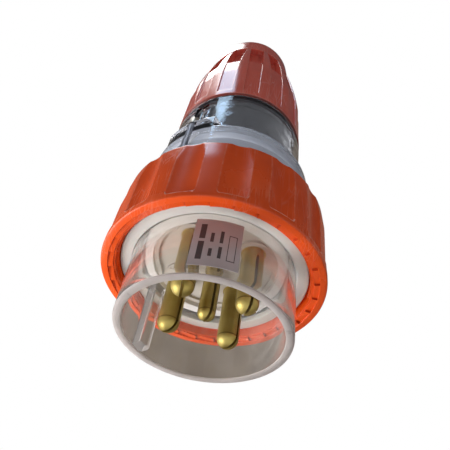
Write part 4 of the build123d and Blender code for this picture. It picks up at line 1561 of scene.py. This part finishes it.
@dataclass
class RearBody:
    """Clear rear moulding with two screw lugs beside its neck, its screws and its rubber bush."""

    sleeve: float = 33.9
    sleeve_rows: tuple[float, ...] = (46.0, 54.0, 62.0)
    sleeve_bore: float = 30.8
    sleeve_end: float = 70.0
    step: float = 33.3
    step_end: float = 75.0
    fillet: float = 0.8
    neck: float = 29.35
    neck_end: float = 103.2
    neck_rows: tuple[float, ...] = (86.0, 90.0, 94.0, 98.0)
    relief: float = 28.5
    relief_end: float = 107.4
    spigot: float = 27.2
    chamber: float = 25.0
    shoulder: float = 17.0
    shoulder_z: Span = (80.0, 84.0)
    clear_rows: int = 2
    lug_angle: float = -128.5
    lug_half_width: float = 11.1
    lug_top: float = 81.8
    lug_edge: float = 0.4
    screw_circle: float = 30.95
    channel: float = 4.0
    boss: float = 2.9
    screw_head: float = 2.3
    screw_head_height: float = 4.5
    screw_radius: float = 1.6
    screw_slot: float = 0.9
    seal: float = 0.8
    seed: int = 5

    def __post_init__(self) -> None:
        """Takes the ends from the solid."""
        low, high = box_mm("rear_body")
        self.front = float(low[2])
        self.rear = float(high[2])

    def build(self) -> None:
        """Makes the moulding, the bush and the screws."""
        body = self._skin().piece("clear_body", 28.0)
        settle(body, Body.HOUSING, [SMOKED, SLEEVE], ["rear_body"])
        body.visible_shadow = False
        bush = copy_of_solid("cable_grommet", "cable_bush", 30.0, 0.35)
        settle(bush, Body.HOUSING, [BLACK_RUBBER], ["cable_grommet"])
        self._screws()

    @staticmethod
    def _columns() -> np.ndarray:
        """Angles from a lug's middle, crowded over the channel and at the lug's sides."""
        bands = ((0.0, 9.0, 0.25), (9.0, 18.5, 1.0), (18.5, 24.5, 0.25), (24.5, 90.0, 1.5))
        quarter = np.concatenate([np.arange(*band) for band in bands])
        half = np.concatenate([quarter, 180.0 - quarter[::-1], [90.0]])
        return np.unique(np.concatenate([half, half + 180.0]) % 360.0)

    def _bore_edge(self, angles: np.ndarray, radius: float) -> np.ndarray:
        """Where a ray from the axis first meets a round hole about a lug screw, or far out."""
        along = np.cos(angles) * self.screw_circle
        inside = along**2 - self.screw_circle**2 + radius**2
        return np.where(inside > 0, along - np.sqrt(np.maximum(inside, 0.0)), 2 * self.sleeve)

    def _outer(self, radius: float, z: float, angles: np.ndarray) -> np.ndarray:
        """Outer radius at a height: lugs and screw channels on the turned form."""
        across = np.maximum(np.abs(np.sin(angles)), 1e-6)
        result = np.full_like(angles, radius)
        if self.step_end - self.fillet <= z <= self.lug_top:
            drop = min(max(z - self.lug_top + self.lug_edge, 0.0), self.lug_edge)
            top = self.step - self.lug_edge + math.sqrt(self.lug_edge**2 - drop**2)
            result = np.maximum(result, np.minimum(top, self.lug_half_width / across))
        if self.lug_top < z < self.neck_end:
            mouth = self.channel / across
            open_here = (mouth * np.cos(angles) >= self.screw_circle) & (mouth < result)
            result = np.where(open_here, mouth, result)
            result = np.minimum(result, self._bore_edge(angles, self.channel))
        return result

    def _inner(self, radius: float, z: float, angles: np.ndarray) -> np.ndarray:
        """Inner radius at a height, less at the bosses round the screws."""
        result = np.full_like(angles, radius)
        if z < self.shoulder_z[0]:
            result = np.minimum(result, self._bore_edge(angles, self.boss))
        return result

    def _outer_outline(self) -> list[Point]:
        """Turned outside as (radius, height), with close rows at the lugs' tops."""
        chamfer = self.sleeve - self.step
        chamfer_end = self.sleeve_end + chamfer
        heights = (self.front, *self.sleeve_rows, self.sleeve_end - 0.3, self.sleeve_end - 0.1)
        points = [(self.sleeve, z) for z in heights]
        points.append((self.sleeve - 0.05, self.sleeve_end + 0.02))
        points.append((self.step + 0.05, chamfer_end))
        heights = (chamfer_end + 0.1, chamfer_end + 0.3, self.step_end - self.fillet - 0.2)
        points += [(self.step, z) for z in heights]
        points += self._round((self.step, self.step_end), (0.0, -1.0), (-1.0, 0.0))
        points += self._round((self.neck, self.step_end), (1.0, 0.0), (0.0, 1.0))
        top = self.lug_top
        heights = (
            self.step_end + self.fillet + 0.2,
            79.0,
            *(top - self.lug_edge * share for share in (1.0, 0.7, 0.35, 0.1, 0.0)),
            top + 0.03,
            *self.neck_rows,
            self.neck_end - 0.5,
            self.neck_end - 0.2,
        )
        points += [(self.neck, z) for z in heights]
        return points + [
            (self.neck - 0.15, self.neck_end - 0.02),
            (self.relief, self.neck_end),
            (self.relief, self.relief_end),
            (self.spigot, self.relief_end),
            (self.spigot, self.rear - 0.3),
            (self.spigot - 0.3, self.rear),
        ]

    def _round(self, corner: Point, back: Point, ahead: Point) -> list[Point]:
        """Rounds a corner of the outline by the fillet, from one side to the other."""
        points = []
        for step in range(5):
            t = step / 4
            before, after = (1 - t) ** 2 * self.fillet, t**2 * self.fillet
            radius = corner[0] + back[0] * before + ahead[0] * after
            points.append((radius, corner[1] + back[1] * before + ahead[1] * after))
        return points

    def _inner_outline(self) -> list[Point]:
        """Turned inside as (radius, height), from the rear to the front."""
        low, high = self.shoulder_z
        return [
            (self.chamber, self.rear),
            (self.chamber, 100.0),
            (self.chamber, high),
            (self.shoulder, high),
            (self.shoulder, low),
            (self.chamber, low),
            (self.chamber, low - 0.05),
            (self.chamber, self.step_end),
            (self.sleeve_bore, self.sleeve_end - self.sleeve + self.sleeve_bore),
            (self.sleeve_bore, 60.0),
            (self.sleeve_bore, 50.0),
            (self.sleeve_bore, self.front),
        ]

    def _skin(self) -> Skin:
        """Closed skin of the moulding, frosted from the shoulder to the sleeve's front."""
        columns = self._columns()
        folded = np.radians((columns + 90.0) % 180.0 - 90.0)
        outer, inner = self._outer_outline(), self._inner_outline()
        radii = [self._outer(radius, z, folded) for radius, z in outer]
        radii += [self._inner(radius, z, folded) for radius, z in inner]
        heights = np.repeat(np.array([[z] for _, z in outer + inner]), len(columns), axis=1)
        rows = polar_rows(np.array(radii), heights, columns + self.lug_angle)
        clear = len(outer) + self.clear_rows
        frosted = [int(clear <= i < len(rows) - 1) for i in range(len(rows))]
        skin = Skin()
        skin.grid(rows, closed_rows=True, closed_columns=True, finishes=frosted)
        return skin

    def _screw_mesh(self) -> bpy.types.Mesh:
        """One slotted screw, with its seat at height 0."""
        tip = box_mm("body_screws")[0][2] - self.lug_top - self.seal
        head, top = self.screw_head, self.screw_head_height
        outline = [
            (0.0, tip),
            (self.screw_radius - 0.4, tip),
            (self.screw_radius, tip + 0.4),
            (self.screw_radius, 0.0),
            (head, 0.0),
            (head, top - 0.8),
            (head - 0.25, top - 0.25),
            (head - 0.9, top),
            (0.0, top),
        ]
        skin = Skin()
        skin.grid(turned_rows(outline, full_circle(40)), closed_columns=True)
        screw = skin.piece("screw_blank", 30.0)
        bpy.ops.mesh.primitive_cube_add(size=1.0, location=(0.0, 0.0, top * MM))
        cutter = bpy.context.active_object
        slot = self.screw_slot
        cutter.scale = (head * 3 * MM, slot * MM, 1.6 * slot * 2 * MM)
        cut = screw.modifiers.new("slot", "BOOLEAN")
        cut.object = cutter
        cut.solver = "EXACT"
        mesh = finished(screw)
        bpy.data.objects.remove(screw)
        bpy.data.objects.remove(cutter)
        return mesh

    def _screws(self) -> None:
        """Long screws in the lugs' channels."""
        places = []
        for turn in (self.lug_angle, self.lug_angle + 180.0):
            spin = Matrix.Rotation(math.radians(turn), 3, "Z")
            seat = Vector((self.screw_circle, 0.0, self.lug_top + self.seal))
            places.append(spin @ seat * MM)
        seed_mesh = bpy.data.meshes.new("screw_places")
        seed_mesh.from_pydata(places, [], [])
        pattern = new_object("screw_pattern_piece", self._screw_mesh())
        mesh = PATTERNS.grow(
            PATTERNS.places,
            seed_mesh,
            "body_screw_set",
            Pattern=pattern,
            Seed=self.seed,
            Finish=STEEL.material(),
        )
        bpy.data.objects.remove(pattern)
        screws = new_object("body_screw_set", close_up(mesh, 30.0))
        # Shafts below the seat take the steel's painted second tone.
        for face in screws.data.polygons:
            face.material_index = int(face.center.z < self.lug_top * MM)
        settle(screws, Body.HOUSING, [STEEL, SHAFT_PAINTED_TONE], ["body_screws"])


@dataclass
class RatingLabel:
    """Silver label on the shroud, with plain printed bars."""

    def build(self) -> None:
        """Makes the label and its print map."""
        label = copy_of_solid("rating_label", "silver_label")
        mesh = label.data
        low, high = box_mm("rating_label")
        points = np.zeros(len(mesh.vertices) * 3)
        mesh.vertices.foreach_get("co", points)
        points = points.reshape(-1, 3) / MM
        angles = np.arctan2(points[:, 1], points[:, 0])
        across = (angles - angles.min()) / (angles.max() - angles.min())
        along = (points[:, 2] - low[2]) / (high[2] - low[2])
        layer = mesh.uv_layers.new(name=PRINT_MAP)
        for loop in mesh.loops:
            i = loop.vertex_index
            layer.data[loop.index].uv = (across[i], along[i])
        settle(label, Body.HOUSING, [LABEL], ["rating_label"])


@dataclass
class Inside:
    """Solids that keep their own form and only take a finish."""

    finishes: tuple[tuple[str, Finish], ...] = (
        ("pin_carrier", INSULATOR),
        ("pin_retainer", INSULATOR),
        ("retainer_screws", STEEL),
        ("terminal_screws", STEEL),
        ("body_seal", BLACK_RUBBER),
        ("screw_seals", BLACK_RUBBER),
        ("slip_washer", NYLON),
    )

    def dress(self) -> None:
        """Gives each solid its finish."""
        for node, finish in self.finishes:
            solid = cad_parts[node]
            for slot in solid.material_slots:
                slot.material = finish.material()
            LOG.info("%s keeps its form as %s", node, finish.name)


# Stage


@dataclass(frozen=True)
class Lamp:
    """A soft rectangular lamp that looks at a point of the plug."""

    name: str
    direction: Tone
    distance: float
    size: Span
    power: float
    aim: Tone
    tone: Tone = (1.0, 1.0, 1.0)

    def place(self) -> None:
        """Adds the lamp to the scene."""
        data = bpy.data.lights.new(self.name, "AREA")
        data.shape = "RECTANGLE"
        data.size, data.size_y = self.size
        data.energy = self.power
        data.color = self.tone
        lamp = bpy.data.objects.new(self.name, data)
        bpy.context.scene.collection.objects.link(lamp)
        away = Vector(self.direction).normalized()
        lamp.location = Vector(self.aim) + away * self.distance
        across = Vector((0.0, 1.0, 0.0)).cross(away).normalized()
        lamp.rotation_euler = Matrix((across, away.cross(across), away)).transposed().to_euler()


def corners(width: float, length: float) -> list[Vector]:
    """Corners of a level rectangle about the origin."""
    signs = ((-1, -1), (1, -1), (1, 1), (-1, 1))
    return [Vector((x * width / 2, y * length / 2, 0.0)) for x, y in signs]


def sheet(name: str, points: Sequence[Vector]) -> bpy.types.Mesh:
    """A mesh of one four-sided face."""
    mesh = bpy.data.meshes.new(name)
    mesh.from_pydata(points, [], [(0, 1, 2, 3)])
    return mesh


@dataclass(frozen=True)
class Card:
    """A plain card beside the plug, seen only in gloss or through the clear parts."""

    name: str
    centre: Tone
    facing: Tone
    size: Span
    tones: tuple[Tone, Tone]
    in_gloss: bool = True
    through_clear: bool = False

    def place(self) -> None:
        """Adds the card to the stage."""
        turn = Vector(self.facing).to_track_quat("Z", "Y")
        points = [Vector(self.centre) + turn @ corner for corner in corners(*self.size)]
        card = new_object(self.name, sheet(self.name, points))
        card.data.materials.append(self._material())
        for ray in ("camera", "diffuse", "shadow", "volume_scatter"):
            setattr(card, "visible_" + ray, False)
        card.visible_glossy = self.in_gloss
        card.visible_transmission = self.through_clear

    def _material(self) -> bpy.types.Material:
        """Even, slightly mottled tone that no lamp changes."""
        material, board = new_material(self.name)
        place = board.add("ShaderNodeTexCoord").outputs["Object"]
        amount = board.span(board.noise(place, 40.0, 6.0), (0.35, 0.65), (0.0, 1.0))
        tone = board.blend(amount, rgba(self.tones[0]), rgba(self.tones[1]))
        glow = board.add("ShaderNodeEmission", {"Color": tone, "Strength": 1.0})
        board.close(glow.outputs[0])
        return material


@dataclass(frozen=True)
class Stage:
    """Camera, pale floor, white surround, soft lamps and cards."""

    camera_place: Tone = (0.00082, -0.13875, -0.09257)
    camera_rise: float = 46.44
    camera_roll: float = 10.42
    lens: float = 39.9
    sensor: float = 36.0
    floor_size: float = 2.4
    floor_drop: float = 0.0004
    floor_tones: tuple[Tone, Tone] = ((0.8, 0.79, 0.78), (0.84, 0.83, 0.82))
    ambient: float = 0.28
    ambient_tone: Tone = (1.0, 0.98, 0.96)
    lamps: tuple[Lamp, ...] = (
        Lamp("window_left", (-0.32, 0.04, 0.946), 1.0, (0.27, 0.54), 2.9, (0.0, -0.025, 0.13)),
        Lamp("window_back", (-0.08, 0.41, 0.91), 1.0, (0.13, 0.1), 0.35, (0.0, -0.025, 0.15)),
        Lamp(
            "sky_left",
            (-0.33, -0.33, 0.89),
            1.0,
            (0.22, 0.24),
            1.0,
            (0.0, -0.025, 0.12),
            tone=(0.54, 0.76, 1.0),
        ),
        Lamp("front_soft", (-0.83, 0.27, -0.49), 0.22, (0.13, 0.19), 0.74, (0.0, 0.0, 0.02)),
    )
    cards: tuple[Card, ...] = (
        Card(
            "ceiling_card",
            centre=(0.0, -0.3, 1.2),
            facing=(0.0, 0.0, -1.0),
            size=(3.4, 3.0),
            tones=((0.05, 0.05, 0.055), (0.1, 0.1, 0.11)),
        ),
        Card(
            "table_card",
            centre=(0.0, 0.06, -0.1),
            facing=(0.0, -1.0, 0.0),
            size=(0.9, 0.8),
            tones=((0.18, 0.15, 0.125), (0.27, 0.235, 0.2)),
            through_clear=True,
        ),
    )

    def build(self) -> None:
        """Sets up the whole stage."""
        bpy.context.scene.view_settings.view_transform = "Standard"
        self._camera()
        self._surround()
        self._floor()
        for lamp in self.lamps:
            lamp.place()
        for card in self.cards:
            card.place()

    def _camera(self) -> None:
        """Places the camera where the photograph was taken from."""
        data = bpy.data.cameras.new("camera")
        data.lens = self.lens
        data.sensor_width = self.sensor
        data.clip_start = 0.01
        camera = bpy.data.objects.new("camera", data)
        bpy.context.scene.collection.objects.link(camera)
        rise, roll = math.radians(self.camera_rise), math.radians(self.camera_roll)
        ahead = Vector((0.0, math.cos(rise), math.sin(rise)))
        level = Vector((1.0, 0.0, 0.0))
        upright = level.cross(ahead)
        right = level * math.cos(roll) + upright * math.sin(roll)
        up = upright * math.cos(roll) - level * math.sin(roll)
        turn = Matrix((right, up, -ahead)).transposed().to_4x4()
        camera.matrix_world = Matrix.Translation(Vector(self.camera_place)) @ turn
        bpy.context.scene.camera = camera

    @staticmethod
    def _any_ray(board: Board, *rays: Light) -> bpy.types.NodeSocket:
        """1 for the named kinds of ray, and 0 for the others."""
        path = board.add("ShaderNodeLightPath")
        result = path.outputs[rays[0].value]
        for ray in rays[1:]:
            result = board.math("MAXIMUM", result, path.outputs[ray.value])
        return result

    def _surround(self) -> None:
        """White for what the camera, gloss and glass see, and a plain soft level for the rest."""
        world = bpy.data.worlds.new("surround")
        world.use_nodes = True
        bpy.context.scene.world = world
        board = Board(world.node_tree)
        board.tree.nodes.clear()
        white = board.add("ShaderNodeBackground", {"Color": (1.0, 1.0, 1.0, 1.0), "Strength": 1.0})
        feeds = {"Color": rgba(self.ambient_tone), "Strength": self.ambient}
        soft = board.add("ShaderNodeBackground", feeds)
        seen = self._any_ray(board, Light.CAMERA, Light.GLOSSY, Light.TRANSMISSION)
        feeds = {0: seen, 1: soft.outputs[0], 2: white.outputs[0]}
        mixed = board.add("ShaderNodeMixShader", feeds)
        board.close(mixed.outputs[0], "ShaderNodeOutputWorld")

    def _floor(self) -> None:
        """Pale floor that is clear from below and lets the lamps under it through."""
        drop = Vector((0.0, 0.0, -self.floor_drop))
        points = [corner + drop for corner in corners(self.floor_size, self.floor_size)]
        floor = new_object("floor", sheet("floor", points))
        material, board = new_material("pale_floor")
        place = board.add("ShaderNodeTexCoord").outputs["Object"]
        dark, light = self.floor_tones
        tone = board.blend(board.noise(place, 6.0, 4.0), rgba(dark), rgba(light))
        paint = board.add("ShaderNodeBsdfPrincipled", {"Base Color": tone, "Roughness": 0.8})
        clear = board.add("ShaderNodeBsdfTransparent")
        back = board.add("ShaderNodeNewGeometry").outputs["Backfacing"]
        shadow = self._any_ray(board, Light.SHADOW)
        see_through = board.math("MAXIMUM", back, shadow)
        feeds = {0: see_through, 1: paint.outputs[0], 2: clear.outputs[0]}
        mixed = board.add("ShaderNodeMixShader", feeds)
        board.close(mixed.outputs[0])
        floor.data.materials.append(material)
        floor.visible_glossy = False


def main() -> None:
    """Dresses the plug and sets the stage."""
    logging.basicConfig(level=logging.INFO, format="%(name)s: %(message)s")
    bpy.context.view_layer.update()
    kinds = (LockingRing, GlandNut, FrontShroud, PinSet, FaceGasket, RearBody, RatingLabel)
    for kind in kinds:
        kind().build()
    Inside().dress()
    Stage().build()


if __name__ == "__main__":
    main()
